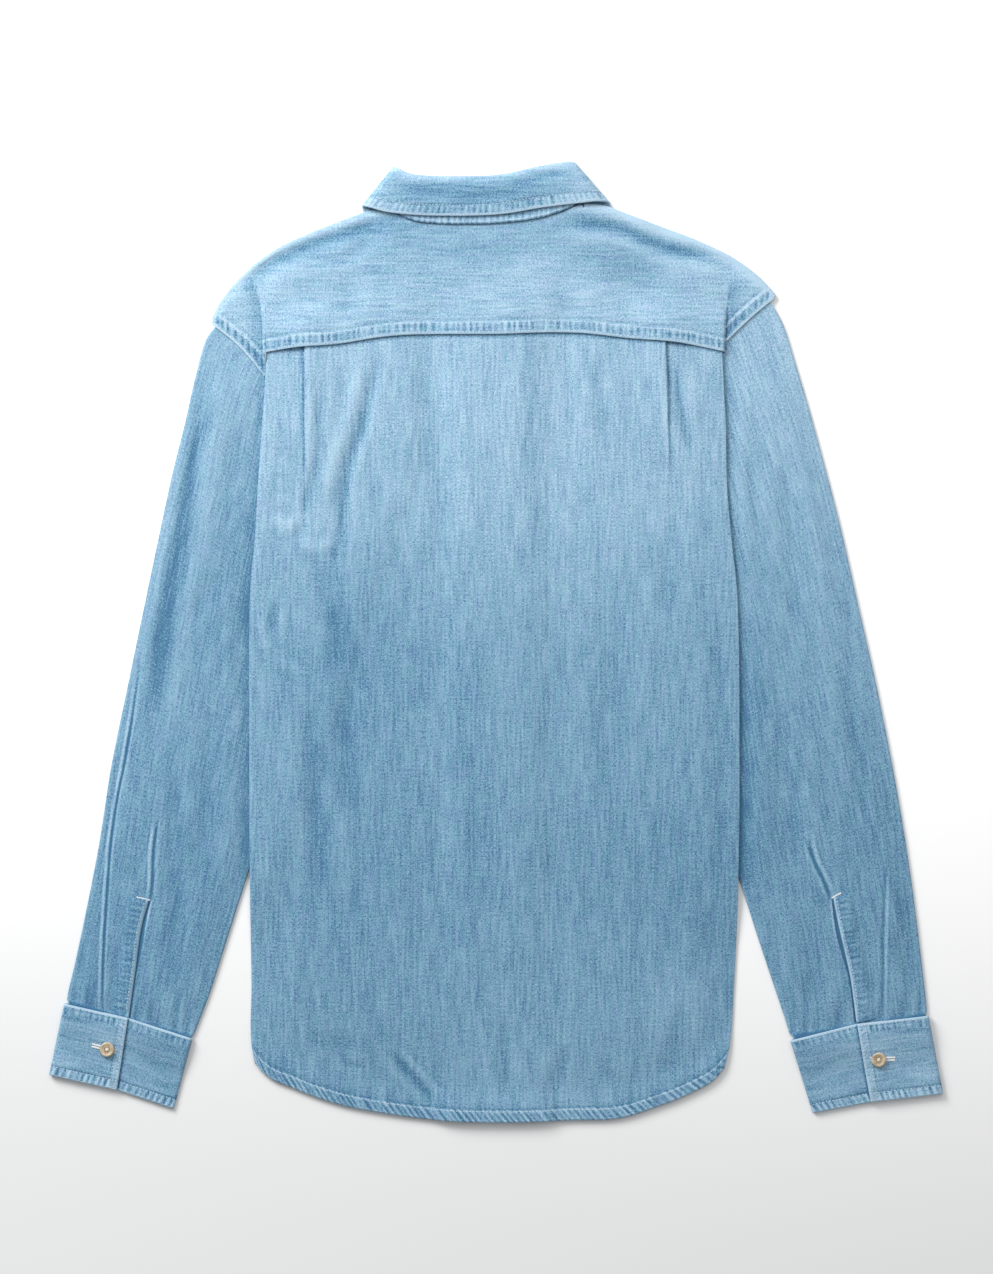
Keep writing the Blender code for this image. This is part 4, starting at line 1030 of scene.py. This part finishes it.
# Stand: neck x, neck y, roll x, roll y, neck height, roll height.
COLLAR_STAND = [
    (11, 287, 13, 318, 3.9, 3.6), (-14, 287, -12, 320, 3.9, 3.6), (-30, 294, -27, 331, 4.3, 3.6),
    (-52, 312, -50, 349, 4.4, 3.7), (-68, 336, -66, 366, 4.6, 4.0),
    (-78.5, 353, -74.5, 377, 5.4, 4.9), (-82, 354, -77, 382.5, 7.2, 6.4),
    (-79.5, 349.4, -74, 382, 8.6, 7.6), (-66, 343.2, -62, 377.5, 9.1, 8.2),
    (-38, 340.8, -38, 375.6, 9.1, 8.4), (0, 341.3, 0, 376.4, 9.1, 8.4),
    (30, 344.6, 30, 382.6, 9.1, 8.4), (50, 350, 47, 386.3, 9.1, 8.2),
    (62, 355, 55, 386.8, 8.8, 7.8), (66, 358.5, 58.5, 384.5, 7.2, 6.4),
    (63.5, 355, 59, 377, 5.4, 4.9), (60, 336, 56, 366, 4.6, 4.0), (48, 313, 45, 349, 4.4, 3.7),
    (30, 295, 27, 331, 4.6, 4.0), (14, 288, 12, 320, 6.0, 5.6), (-9, 287, -11, 318, 6.0, 5.6),
]


roll_x, roll_y, edge_x, edge_y, roll_z, edge_z = stations(COLLAR_LEAF, 250)
wide = np.hypot(edge_x - roll_x, edge_y - roll_y)
share = np.concatenate([
    np.linspace(0.0, 0.1, 5), np.linspace(0.1, 0.68, 15)[1:-1], np.linspace(0.68, 1.0, 12),
])[:, None]
x_grid = between(roll_x, edge_x, share)
y_grid = between(roll_y, edge_y, share)
raised = ease((edge_z - 8.0) / 2.0)
z_grid = between(roll_z, edge_z, share) + 1.4 * np.sin(math.pi * share) * raised
z_grid -= 0.9 * raised * (1.0 - np.sqrt(1.0 - np.clip(1.0 - share / 0.11, 0.0, 1.0) ** 2))
from_edge = (1.0 - share) * wide
LEAF_FOLDS = [
    ([(-96, 366), (-72, 369), (-46, 366), (-16, 364), (14, 367), (34, 373)], 4.2, 0.6, 0.0, 0.15),
    ([(8, 371), (30, 378), (52, 383), (60, 384)], 3.2, 0.4, 0.0, 0.10),
    ([(-60, 374), (-36, 372), (-12, 373)], 2.6, 0.3, 0.0, 0.07),
]
fold_height, fold_tone = creases(x_grid, y_grid, LEAF_FOLDS)
z_grid += fold_height * raised - 0.25 * streak(from_edge, 9.0, 0.9)
band = ease((from_edge - 1.4) / 1.0) * fade(from_edge, 7.6, 1.6)
# Painted shade and highlight of the folds; a pale turned edge, painted highlight, partly worn; painted shade
# in the stitch groove; painted highlight along the roll.
tone = (
    fold_tone * raised + 1.15 * streak(from_edge, 0.0, 1.3) + 0.06 * band
    - 0.42 * streak(from_edge, 9.2, 1.0) - 0.10 * ease((from_edge - 9.0) / 3.0)
    + 0.44 * fade(share * wide, 0.0, 9.0)
)
pale = 0.44 + 0.13 * ease((x_grid - 12.0) / 45.0) + 0.26 * ease((x_grid - 46.0) / 26.0)
pale += 0.28 * ease((-58.0 - x_grid) / 36.0)
along = run_along(np.stack([edge_x, edge_y], axis=1)) + 0.0 * share
leaf = shell(
    "leaf_cloth", np.stack([x_grid, y_grid, z_grid], axis=2)[::-1], LEAF_WALL,
    ((y_grid / MM)[::-1], (along / MM)[::-1]), pale[::-1], tone[::-1],
    (band * 1.1)[::-1], (along / MM)[::-1],
)
collar_cloth = denim("collar_denim")
wearing(leaf, collar_cloth, ["collar_leaf"])

neck_x, neck_y, top_x, top_y, neck_z, top_z = stations(COLLAR_STAND, 240)
share = np.linspace(0.0, 1.0, 18)[:, None]
x_grid = between(neck_x, top_x, share)
y_grid = between(neck_y, top_y, share)
z_grid = between(neck_z, top_z, share)
from_neck = share * np.hypot(top_x - neck_x, top_y - neck_y)
band = fade(from_neck, 7.0, 2.0)
# A dark line at the neck seam and a pale one above it. Higher up the stand darkens: painted shadow under the
# edge of the leaf.
tone = 0.02 * band - 0.50 * streak(from_neck, 0.0, 1.1) + 0.20 * streak(from_neck, 2.4, 1.0)
tone = tone - 0.30 * ease((from_neck - 4.0) / 5.0)
along = run_along(np.stack([neck_x, neck_y], axis=1)) + 0.0 * share
stand = shell(
    "stand_cloth", np.stack([x_grid, y_grid, z_grid], axis=2), STAND_WALL,
    (y_grid / MM, along / MM + 0.4), 0.60, tone, band, along / MM,
)
wearing(stand, collar_cloth, ["collar_stand"])

# ---- Fronts -----------------------------------------------------------------------------------
# The two fronts lie face down on the table and lap along the middle. The outer one carries a folded
# placket band, held to it by the front buttons. Their long folds are like those of the back.

FRONT_NECK = [(0, 284), (20, 285), (40, 297), (60, 318)]
FRONT_FOLDS = [
    ([(-140, 230), (-134, 160), (-138, 90), (-132, 20)], 9.0, -0.35, 0.0, 0.09),
    ([(-90, 120), (-84, 40), (-88, -60), (-80, -150)], 12.0, -0.3, 0.2, 0.07),
    ([(-120, -160), (-126, -230), (-118, -310)], 9.0, -0.3, 0.0, 0.08),
    ([(60, 240), (66, 170), (60, 90)], 9.0, -0.35, 0.0, 0.08),
    ([(128, 200), (122, 120), (126, 40), (118, -40)], 10.0, -0.35, 0.0, 0.09),
    ([(90, -80), (96, -180), (88, -280)], 11.0, -0.3, 0.0, 0.07),
]


def front_top(x):
    """Where a front ends: at the neckline, or at the front edge of the yoke."""
    neck = smooth(FRONT_NECK, np.minimum(np.abs(x), 60.0))
    under = smooth(SHOULDER, x) - 35.0
    under = between(under, 274.0, ease((np.abs(x) - 160.0) / 8.0))
    return np.where(np.abs(x) < 60.0, neck, under)


def front(name, right, node):
    """One front, lifted by the sleeve under its side."""
    sign = 1.0 if right else -1.0
    across = np.concatenate([np.linspace(0.0, 1.0, 66), 1.0 + np.linspace(0.0, 16.0, 8)[1:] / 200.0])
    up = np.concatenate([np.linspace(0.0, 12.0, 6)[:-1] / 650.0, np.linspace(12.0 / 650.0, 1.0, 120)])
    s, v = np.meshgrid(across, up)
    x = sign * 200.0 * (1.0 - s)
    for repeat in range(2):
        low = smooth(HEM_EDGE, x)
        y = low + (front_top(x) - low) * v
        x = np.where(s <= 1.0, side_edge(y, right) * (1.0 - s), -sign * (s - 1.0) * 200.0)
    wall = hem_wall(x, y)
    fold_height, fold_tone = creases(x, y, FRONT_FOLDS)
    calm = ease((200.0 - np.abs(x)) / 14.0) * ease((np.abs(x) - 22.0) / 14.0)
    z = front_support(x, y) + wall / 2.0 - np.abs(fold_height) * 0.3 * calm
    if right:
        z = z + (wall + GAP) * fade(np.abs(x), 20.0, 16.0)
    from_hem = y - smooth(HEM_EDGE, x)
    hem = fade(from_hem, HEM, 3.0)
    # Painted shade and highlight of the folds, and painted shade along the upper edge of the turned hem.
    tone = fold_tone * calm - 0.14 * streak(from_hem, 10.2, 1.5) + 0.05 * hem
    if right:
        x, y, z, wall, tone, hem = (row[:, ::-1] for row in (x, y, z, wall, tone, hem))
    seam = (x + 0.8 * (y - smooth(HEM_EDGE, x))) / MM
    thing = shell(
        name, np.stack([x, y, z], axis=2), wall, (x / MM + 0.5, y / MM), wash_and_shade(x, y), tone,
        hem * 0.9, seam,
    )
    wearing(thing, body_cloth, [node])
    return thing


left_front = front("left_front", False, "front_left")
right_front = front("right_front", True, "front_right")

BAND_HALF = 16.0
band_y = np.linspace(-382.5, 283.5, 200)
band_x = np.linspace(-BAND_HALF, BAND_HALF, 23)
x_grid, y_grid = np.meshgrid(band_x, band_y)
to_edge = BAND_HALF - np.abs(x_grid)
z_grid = 0.5 + button_lift(y_grid) + 0.12 * streak(to_edge, 5.5, 0.9)
# Pale along the folded edges: worn, with painted highlight; darker along the rows of stitches.
tone = 0.14 * streak(to_edge, 0.0, 1.3) - 0.12 * streak(to_edge, 6.0, 0.9)
pucker = 0.8 * fade(to_edge, 5.0, 1.5)
placket = shell(
    "placket_cloth", np.stack([x_grid, y_grid, z_grid], axis=2), WALL,
    (x_grid / MM, y_grid / MM), wash_and_shade(x_grid, y_grid), tone, pucker,
    (y_grid + 0.4 * x_grid) / MM,
)
wearing(placket, body_cloth, ["placket_band"])

# ---- Stitching --------------------------------------------------------------------------------
# Pale cotton thread: rows of stitches along the seams, hems and edges, and dense turned stitches at
# the bar tacks and buttonholes. Each row follows the cloth that it is sewn through.


def stitch_tree(material):
    """Geometry nodes: short rounded stitches along every line of edges."""
    tree = bpy.data.node_groups.new("stitches", "GeometryNodeTree")
    tree.interface.new_socket(name="Geometry", in_out="INPUT", socket_type="NodeSocketGeometry")
    for label, value in (("Spacing", 0.0027), ("Length", 0.0021), ("Thread", 0.0006), ("Turn", 0.0)):
        socket = tree.interface.new_socket(name=label, in_out="INPUT", socket_type="NodeSocketFloat")
        socket.default_value = value
    tree.interface.new_socket(name="Geometry", in_out="OUTPUT", socket_type="NodeSocketGeometry")
    entry = add_node(tree, "NodeGroupInput").outputs
    curve = add_node(tree, "GeometryNodeMeshToCurve", {"Mesh": entry["Geometry"]})
    spots = add_node(tree, "GeometryNodeCurveToPoints", {
        "Curve": curve.outputs["Curve"], "Length": entry["Spacing"],
    }, mode="LENGTH").outputs
    ball = add_node(tree, "GeometryNodeMeshUVSphere", {"Segments": 6, "Rings": 4, "Radius": 0.5})
    size = add_node(tree, "ShaderNodeCombineXYZ", {
        "X": entry["Length"], "Y": entry["Thread"], "Z": entry["Thread"],
    })
    turn = add_node(tree, "ShaderNodeCombineXYZ", {"Z": entry["Turn"]})
    shape = add_node(tree, "GeometryNodeTransform", {
        "Geometry": ball.outputs["Mesh"], "Scale": size.outputs[0],
    })
    twist = add_node(tree, "GeometryNodeTransform", {
        "Geometry": shape.outputs["Geometry"], "Rotation": turn.outputs[0],
    })
    align = add_node(tree, "FunctionNodeAlignRotationToVector", {
        "Vector": spots["Tangent"],
    }, axis="X", pivot_axis="Z")
    uneven = add_node(tree, "FunctionNodeRandomValue", {2: 0.86, 3: 1.1, "Seed": 7}, data_type="FLOAT")
    place = add_node(tree, "GeometryNodeInstanceOnPoints", {
        "Points": spots["Points"], "Instance": twist.outputs["Geometry"],
        "Rotation": align.outputs["Rotation"], "Scale": uneven.outputs[1],
    })
    real = add_node(tree, "GeometryNodeRealizeInstances", {"Geometry": place.outputs["Instances"]})
    paint = add_node(tree, "GeometryNodeSetMaterial", {
        "Geometry": real.outputs["Geometry"], "Material": material,
    })
    add_node(tree, "NodeGroupOutput", {"Geometry": paint.outputs["Geometry"]})
    return tree


def cotton(name, colour):
    """Matt cotton thread with a fine twist."""
    material, tree, shader = new_material(name, {"Roughness": 0.85, "Specular IOR Level": 0.2})
    spot = add_node(tree, "ShaderNodeTexCoord")
    noise = add_node(tree, "ShaderNodeTexNoise", {"Scale": 420.0, "Vector": spot.outputs["Object"]})
    mix = add_node(tree, "ShaderNodeMix", {
        "Factor": noise.outputs["Fac"], "A": (*[part * 0.72 for part in colour], 1.0), "B": (*colour, 1.0),
    }, data_type="RGBA")
    tune(shader, {"Base Color": mix.outputs["Result"]})
    return material


thread_tree = stitch_tree(cotton("seam_thread", (0.66, 0.77, 0.84)))
white_tree = stitch_tree(cotton("tack_thread", (0.80, 0.82, 0.82)))


def offset_line(path, away):
    """The line at a distance to the left of a path, with points close together."""
    spots = fine_path(path, 2.0)
    ways = np.gradient(spots, axis=0)
    ways /= np.linalg.norm(ways, axis=1, keepdims=True)
    return spots + np.stack([-ways[:, 1], ways[:, 0]], axis=1) * away


def stitched(name, cloth, lines, tree=None, below=False, sizes=()):
    """Rows of stitches on a piece of cloth, along lines seen from above or from below."""
    points, edges = [], []
    for line in lines:
        z = resting(cloth, line[:, 0], line[:, 1], below)
        first = len(points)
        points += [(x / MM, y / MM, level / MM) for (x, y), level in zip(line, z)]
        edges += [(first + k, first + k + 1) for k in range(len(line) - 1)]
    mesh = bpy.data.meshes.new(name)
    mesh.from_pydata(points, edges, [])
    thing = put(name, mesh)
    modifier = thing.modifiers.new("stitches", "NODES")
    modifier.node_group = tree or thread_tree
    for socket in modifier.node_group.interface.items_tree:
        for label, value in sizes:
            if socket.name == label and socket.in_out == "INPUT":
                modifier[socket.identifier] = value
    thing.update_tag()
    sewn = bpy.data.meshes.new_from_object(thing.evaluated_get(bpy.context.evaluated_depsgraph_get()))
    thing.modifiers.clear()
    thing.data = sewn
    sewn.name = name
    sewn.shade_smooth()
    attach(thing, "root")
    return thing


def level_line(table, start, end, rise):
    """Points along a table of x and y, raised by an amount."""
    x = np.arange(start, end, 2.0)
    return np.stack([x, smooth(table, x) + rise], axis=1)


def cuff_lines(outline):
    """Stitch lines of a cuff: along its seam, its open edge and its lap."""
    corners = np.array(outline, float)
    tall = np.linalg.norm(corners[4] - corners[1])

    def point(share, part):
        outer, lap, inner = between(corners[:3], corners[3:], share)
        return between(lap, outer if part > 0 else inner, abs(part))

    def across(share, first, last):
        return np.array([point(share, part) for part in np.linspace(first, last, 26)])

    def down(away):
        return np.array([
            point(share, away / np.linalg.norm(corners[0] - corners[1]))
            for share in np.linspace(0.02, 0.97, 30)
        ])

    seam, edge = 1.6 / tall, 1.0 - 7.2 / tall
    return [
        across(seam, 0.96, 0.02), across(seam, -0.04, -0.96), across(edge, 0.95, 0.03),
        across(edge, -0.05, -0.95), down(1.6), down(6.2),
    ]


def turned(spacing, length, thread):
    """Sizes of dense stitches that lie across their line."""
    return (("Spacing", spacing), ("Length", length), ("Thread", thread), ("Turn", math.pi / 2.0))


leaf_edge = [(row[2], row[3]) for row in COLLAR_LEAF]
for name, cloth, slot, below, lines in (
    ("yoke_thread", yoke, "yoke_denim", False,
     [level_line(YOKE_SEAM, -190.5, 186.5, rise) for rise in (1.8, 9.4)]
     + [offset_line(ARMHOLE_LEFT[::-1][1:], -away) for away in (1.6, 8.4)]
     + [offset_line(ARMHOLE_RIGHT, away) for away in (1.6, 8.4)]),
    ("hem_thread", back, "body_denim", False, [level_line(HEM_EDGE, -194.0, 186.0, HEM_ROW)]),
    ("front_hem_thread", left_front, "body_denim", True, [level_line(HEM_EDGE, -192.0, -20.0, HEM_ROW)]),
    ("other_hem_thread", right_front, "body_denim", True, [level_line(HEM_EDGE, 20.0, 184.0, HEM_ROW)]),
    ("placket_thread", placket, "body_denim", True,
     [np.stack([np.full(330, side), np.linspace(-378.0, 280.0, 330)], axis=1) for side in (-10.4, 10.4)]),
    ("left_cuff_thread", left_cuff, "cuff_denim", False, cuff_lines(CUFF_LEFT)),
    ("right_cuff_thread", right_cuff, "cuff_denim", False, cuff_lines(CUFF_RIGHT)),
    ("leaf_thread", leaf, "collar_denim", False,
     [offset_line(leaf_edge[6:13], away) for away in (1.6, 8.8)]),
    ("point_thread", leaf, "collar_denim", True,
     [offset_line(leaf_edge[:5], -4.0), offset_line(leaf_edge[14:], -4.0)]),
    ("stand_thread", stand, "collar_denim", False, [level_line(COLLAR_STAND[8:14], -62.0, 58.0, 2.2)]),
    ("left_slit_thread", left_placket, "sleeve_denim", False, [offset_line(PLACKET_LEFT, -2.6)[2:-4]]),
    ("right_slit_thread", right_placket, "sleeve_denim", False, [offset_line(PLACKET_RIGHT, 2.6)[2:-4]]),
):
    stitched(name, cloth, lines, below=below)
tack_size = turned(0.00055, 0.0019, 0.0008)
hole_size = turned(0.0005, 0.0021, 0.0010)
for name, cloth, slot, sizes, paths in (
    ("left_tack", left_sleeve, "sleeve_denim", tack_size, [[(-294.0, -209.8), (-283.4, -212.2)]]),
    ("right_tack", right_sleeve, "sleeve_denim", tack_size, [[(275.0, -210.4), (282.4, -206.4)]]),
    ("left_buttonhole", left_cuff, "cuff_denim", hole_size,
     [[(-330.0, -329.8), (-311.0, -334.6)], [(-330.4, -331.9), (-311.4, -336.7)]]),
    ("right_buttonhole", right_cuff, "cuff_denim", hole_size,
     [[(307.0, -341.2), (326.4, -340.8)], [(307.0, -343.4), (326.4, -343.0)]]),
):
    lines = [fine_path(path, 1.0) for path in paths]
    stitched(name, cloth, lines, white_tree, sizes=sizes)

# ---- Buttons ----------------------------------------------------------------------------------
# Tan horn-like buttons with a raised rim and four holes, sewn on with crossed thread: six down the
# front, one on the collar stand and one on each cuff.


BUTTON_RADIUS = 0.006
BUTTON_WALL = 0.002
# Shares of a button's radius: how far out its holes lie, and the radii of a hole and of the thread.
HOLE_PLACE = 0.23
HOLE_WIDE = 0.095
THREAD_WIDE = 0.065


def horn(name):
    """Pale tan horn: cloudy, slightly glossy, and darker in the dish round the holes, as painted shade."""
    material, tree, shader = new_material(name, {
        "Roughness": 0.38, "Coat Weight": 0.25, "Coat Roughness": 0.2,
    })
    spot = add_node(tree, "ShaderNodeTexCoord")
    noise = add_node(tree, "ShaderNodeTexNoise", {
        "Scale": 260.0, "Detail": 3.0, "Vector": spot.outputs["Object"],
    })
    clouds = colour_ramp(tree, noise.outputs["Fac"], [
        (0.32, (0.32, 0.24, 0.15)), (0.66, (0.58, 0.48, 0.34)),
    ])
    # Painted shade: darker in the dish round the holes.
    well_shade = add_node(tree, "ShaderNodeAttribute", attribute_name="well_shade")
    mix = add_node(tree, "ShaderNodeMix", {
        "Factor": well_shade.outputs["Fac"], "A": clouds, "B": (0.11, 0.065, 0.03, 1.0),
    }, data_type="RGBA")
    tune(shader, {"Base Color": mix.outputs["Result"]})
    return material


def button_mesh(radius, wall):
    """A turned disc with a rounded rim, a dished face and four holes."""
    shape = bmesh.new()
    profile = [
        (0.0, 0.0), (0.70, 0.0), (0.90, 0.08), (0.99, 0.30), (1.0, 0.52), (0.97, 0.78), (0.90, 0.95),
        (0.81, 1.0), (0.72, 0.92), (0.64, 0.76), (0.50, 0.68), (0.25, 0.66), (0.0, 0.66),
    ]
    points = [shape.verts.new((reach * radius, 0.0, level * wall)) for reach, level in profile]
    edges = [shape.edges.new(pair) for pair in zip(points, points[1:])]
    bmesh.ops.spin(shape, geom=points + edges, cent=(0, 0, 0), axis=(0, 0, 1), angle=math.tau, steps=48)
    bmesh.ops.remove_doubles(shape, verts=shape.verts, dist=1e-7)
    bmesh.ops.recalc_face_normals(shape, faces=shape.faces)
    mesh = bpy.data.meshes.new("button")
    shape.to_mesh(mesh)
    shape.free()
    mesh.shade_smooth()
    disc = put("button", mesh)
    drill = bmesh.new()
    for turn in np.radians([45.0, 135.0, 225.0, 315.0]):
        place = Vector((math.cos(turn), math.sin(turn), 0.0)) * HOLE_PLACE * radius
        bmesh.ops.create_cone(
            drill, cap_ends=True, segments=14, radius1=HOLE_WIDE * radius, radius2=HOLE_WIDE * radius,
            depth=wall * 4.0, matrix=Matrix.Translation(place),
        )
    pins = bpy.data.meshes.new("pins")
    drill.to_mesh(pins)
    drill.free()
    tool = put("pins", pins)
    cut = disc.modifiers.new("holes", "BOOLEAN")
    cut.object = tool
    cut.solver = "EXACT"
    bored = bpy.data.meshes.new_from_object(disc.evaluated_get(bpy.context.evaluated_depsgraph_get()))
    for thing in (disc, tool):
        bpy.data.objects.remove(thing, do_unlink=True)
    # Painted shade in the dish round the holes, darkest in the middle.
    well_shade = bored.attributes.new("well_shade", "FLOAT", "POINT")
    for spot, vertex in zip(well_shade.data, bored.vertices):
        reach = math.hypot(vertex.co.x, vertex.co.y) / radius
        spot.value = 0.8 * (1.0 - float(ease((reach - 0.30) / 0.24)))
    return bored


def sewing_mesh(radius, wall):
    """The crossed thread through the holes of a button."""
    shape = bmesh.new()
    for turn in (45, 135):
        for part in (-0.07, 0.07):
            x_axis = Vector((math.cos(math.radians(turn)), math.sin(math.radians(turn)), 0.0))
            y_axis = Vector((-x_axis.y, x_axis.x, 0.0))
            lift = 0.12 if turn > 90 else 0.0
            centre = y_axis * part * radius
            rings = []
            for step in range(9):
                along = (step / 8.0 - 0.5) * 0.56 * radius
                bend = (1.0 - (2.0 * abs(step / 8.0 - 0.5)) ** 4) * 0.22 + lift * (1.0 - abs(step - 4) / 4.0)
                middle = centre + x_axis * along + Vector((0, 0, wall * (0.52 + bend)))
                ring = []
                for side in range(6):
                    angle = math.tau * side / 6.0
                    ring.append(shape.verts.new(
                        middle + y_axis * THREAD_WIDE * radius * math.cos(angle)
                        + Vector((0, 0, THREAD_WIDE * radius * math.sin(angle)))
                    ))
                rings.append(ring)
            for first, second in zip(rings, rings[1:]):
                for side in range(6):
                    after = (side + 1) % 6
                    shape.faces.new((first[side], first[after], second[after], second[side]))
            shape.faces.new(rings[0][::-1])
            shape.faces.new(rings[-1])
    bmesh.ops.recalc_face_normals(shape, faces=shape.faces)
    mesh = bpy.data.meshes.new("sewing")
    shape.to_mesh(mesh)
    shape.free()
    mesh.shade_smooth()
    return mesh


def sewn_button(name, place, turn, face_up, node):
    """One button and its thread, in place of its plain disc."""
    flip = Matrix.Identity(4) if face_up else Matrix.Rotation(math.pi, 4, "X")
    lift = 0.0 if face_up else BUTTON_WALL
    x, y, z = place
    move = Matrix.Translation((x / MM, y / MM, z / MM + lift))
    made = []
    for master, material, label in ((disc_master, horn_look, ""), (thread_master, white_thread, "_thread")):
        mesh = master.copy()
        mesh.transform(move @ flip @ Matrix.Rotation(turn, 4, "Z"))
        mesh.materials.clear()
        mesh.materials.append(material)
        thing = put(name + label, mesh)
        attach(thing, "root")
        made.append(thing)
    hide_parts(node)
    return made


horn_look = horn("button_horn")
white_thread = cotton("button_thread", (0.90, 0.80, 0.64))
disc_master = button_mesh(BUTTON_RADIUS, BUTTON_WALL)
thread_master = sewing_mesh(BUTTON_RADIUS, BUTTON_WALL)
front_buttons = sewn_button("collar_button_disc", (0.0, 303.0, 0.7), 0.5, False, "collar_button")
for number in range(6):
    front_buttons += sewn_button(
        f"front_button_{number + 1}_disc", (0.0, 236.0 - 88.0 * number, 0.0), 0.2 * number, False,
        f"front_button_{number + 1}",
    )


def cuff_button(name, x, y, turn, cloth, node):
    """The button of one cuff, standing on its upper side."""
    level = resting(cloth, np.array([x - 5, x + 5, x, x]), np.array([y, y, y - 5, y + 5]))
    return sewn_button(name, (x, y, float(np.max(level)) + 0.35), turn, True, node)


left_button = cuff_button("left_cuff_button", -318.0, -334.0, 0.3, left_cuff, "cuff_button_left")
right_button = cuff_button("right_cuff_button", 313.0, -342.4, 0.9, right_cuff, "cuff_button_right")

# ---- Table, light and camera ------------------------------------------------------------------
# A pale table, whiter towards the collar and painted darker towards the hem and the left, as
# painted shade where the light falls off. The shirt is lit softly from the upper left. The
# camera is straight above it.
floor_mesh = bpy.data.meshes.new("floor")
floor_mesh.from_pydata([(-4, -4, 0), (4, -4, 0), (4, 4, 0), (-4, 4, 0)], [], [(0, 1, 2, 3)])
floor = put("floor", floor_mesh)
paper, tree, shader = new_material("paper", {"Roughness": 0.9, "Specular IOR Level": 0.1})
spot = add_node(tree, "ShaderNodeTexCoord")
split = add_node(tree, "ShaderNodeSeparateXYZ", {0: spot.outputs["Object"]})
# Painted shade on the table: darker towards the hem, and a little towards the left.
lean = add_node(tree, "ShaderNodeMath", {
    0: split.outputs["X"], 1: 0.14, 2: split.outputs["Y"],
}, operation="MULTIPLY_ADD")
fall = add_node(tree, "ShaderNodeMapRange", {
    "From Min": -0.50, "From Max": 0.0, "Value": lean.outputs[0],
}, interpolation_type="SMOOTHSTEP")
shade = add_node(tree, "ShaderNodeMix", {
    "Factor": fall.outputs[0], "A": (0.74, 0.745, 0.745, 1.0), "B": (0.95, 0.95, 0.95, 1.0),
}, data_type="RGBA")
tune(shader, {"Base Color": shade.outputs["Result"]})
floor_mesh.materials.append(paper)


def soft_light(name, place, aim, size, power):
    """A square soft light that points at a spot."""
    lamp = bpy.data.lights.new(name, "AREA")
    lamp.shape = "SQUARE"
    lamp.size = size
    lamp.energy = power
    thing = put(name, lamp)
    thing.location = place
    thing.rotation_euler = (Vector(aim) - Vector(place)).to_track_quat("-Z", "Y").to_euler()


soft_light("key_light", (-1.55, 1.7, 1.6), (0.0, 0.1, 0.0), 1.3, 84.0)
soft_light("fill_light", (0.5, 1.5, 3.0), (0.0, 0.35, 0.0), 2.4, 40.0)
world = bpy.data.worlds.new("room")
bpy.context.scene.world = world
world.use_nodes = True
tune(world.node_tree.nodes["Background"], {"Color": (1.0, 1.0, 1.0, 1.0), "Strength": 0.38})
bpy.context.scene.view_settings.view_transform = "Standard"

lens = bpy.data.cameras.new("camera")
lens.lens = 100.0
lens.sensor_width = 36.0
lens.clip_end = 20.0
camera = put("camera", lens)
camera.location = (0.0004, 0.0033, 2.902)
camera.rotation_euler = (0.0, 0.0, 0.0)
bpy.context.scene.camera = camera
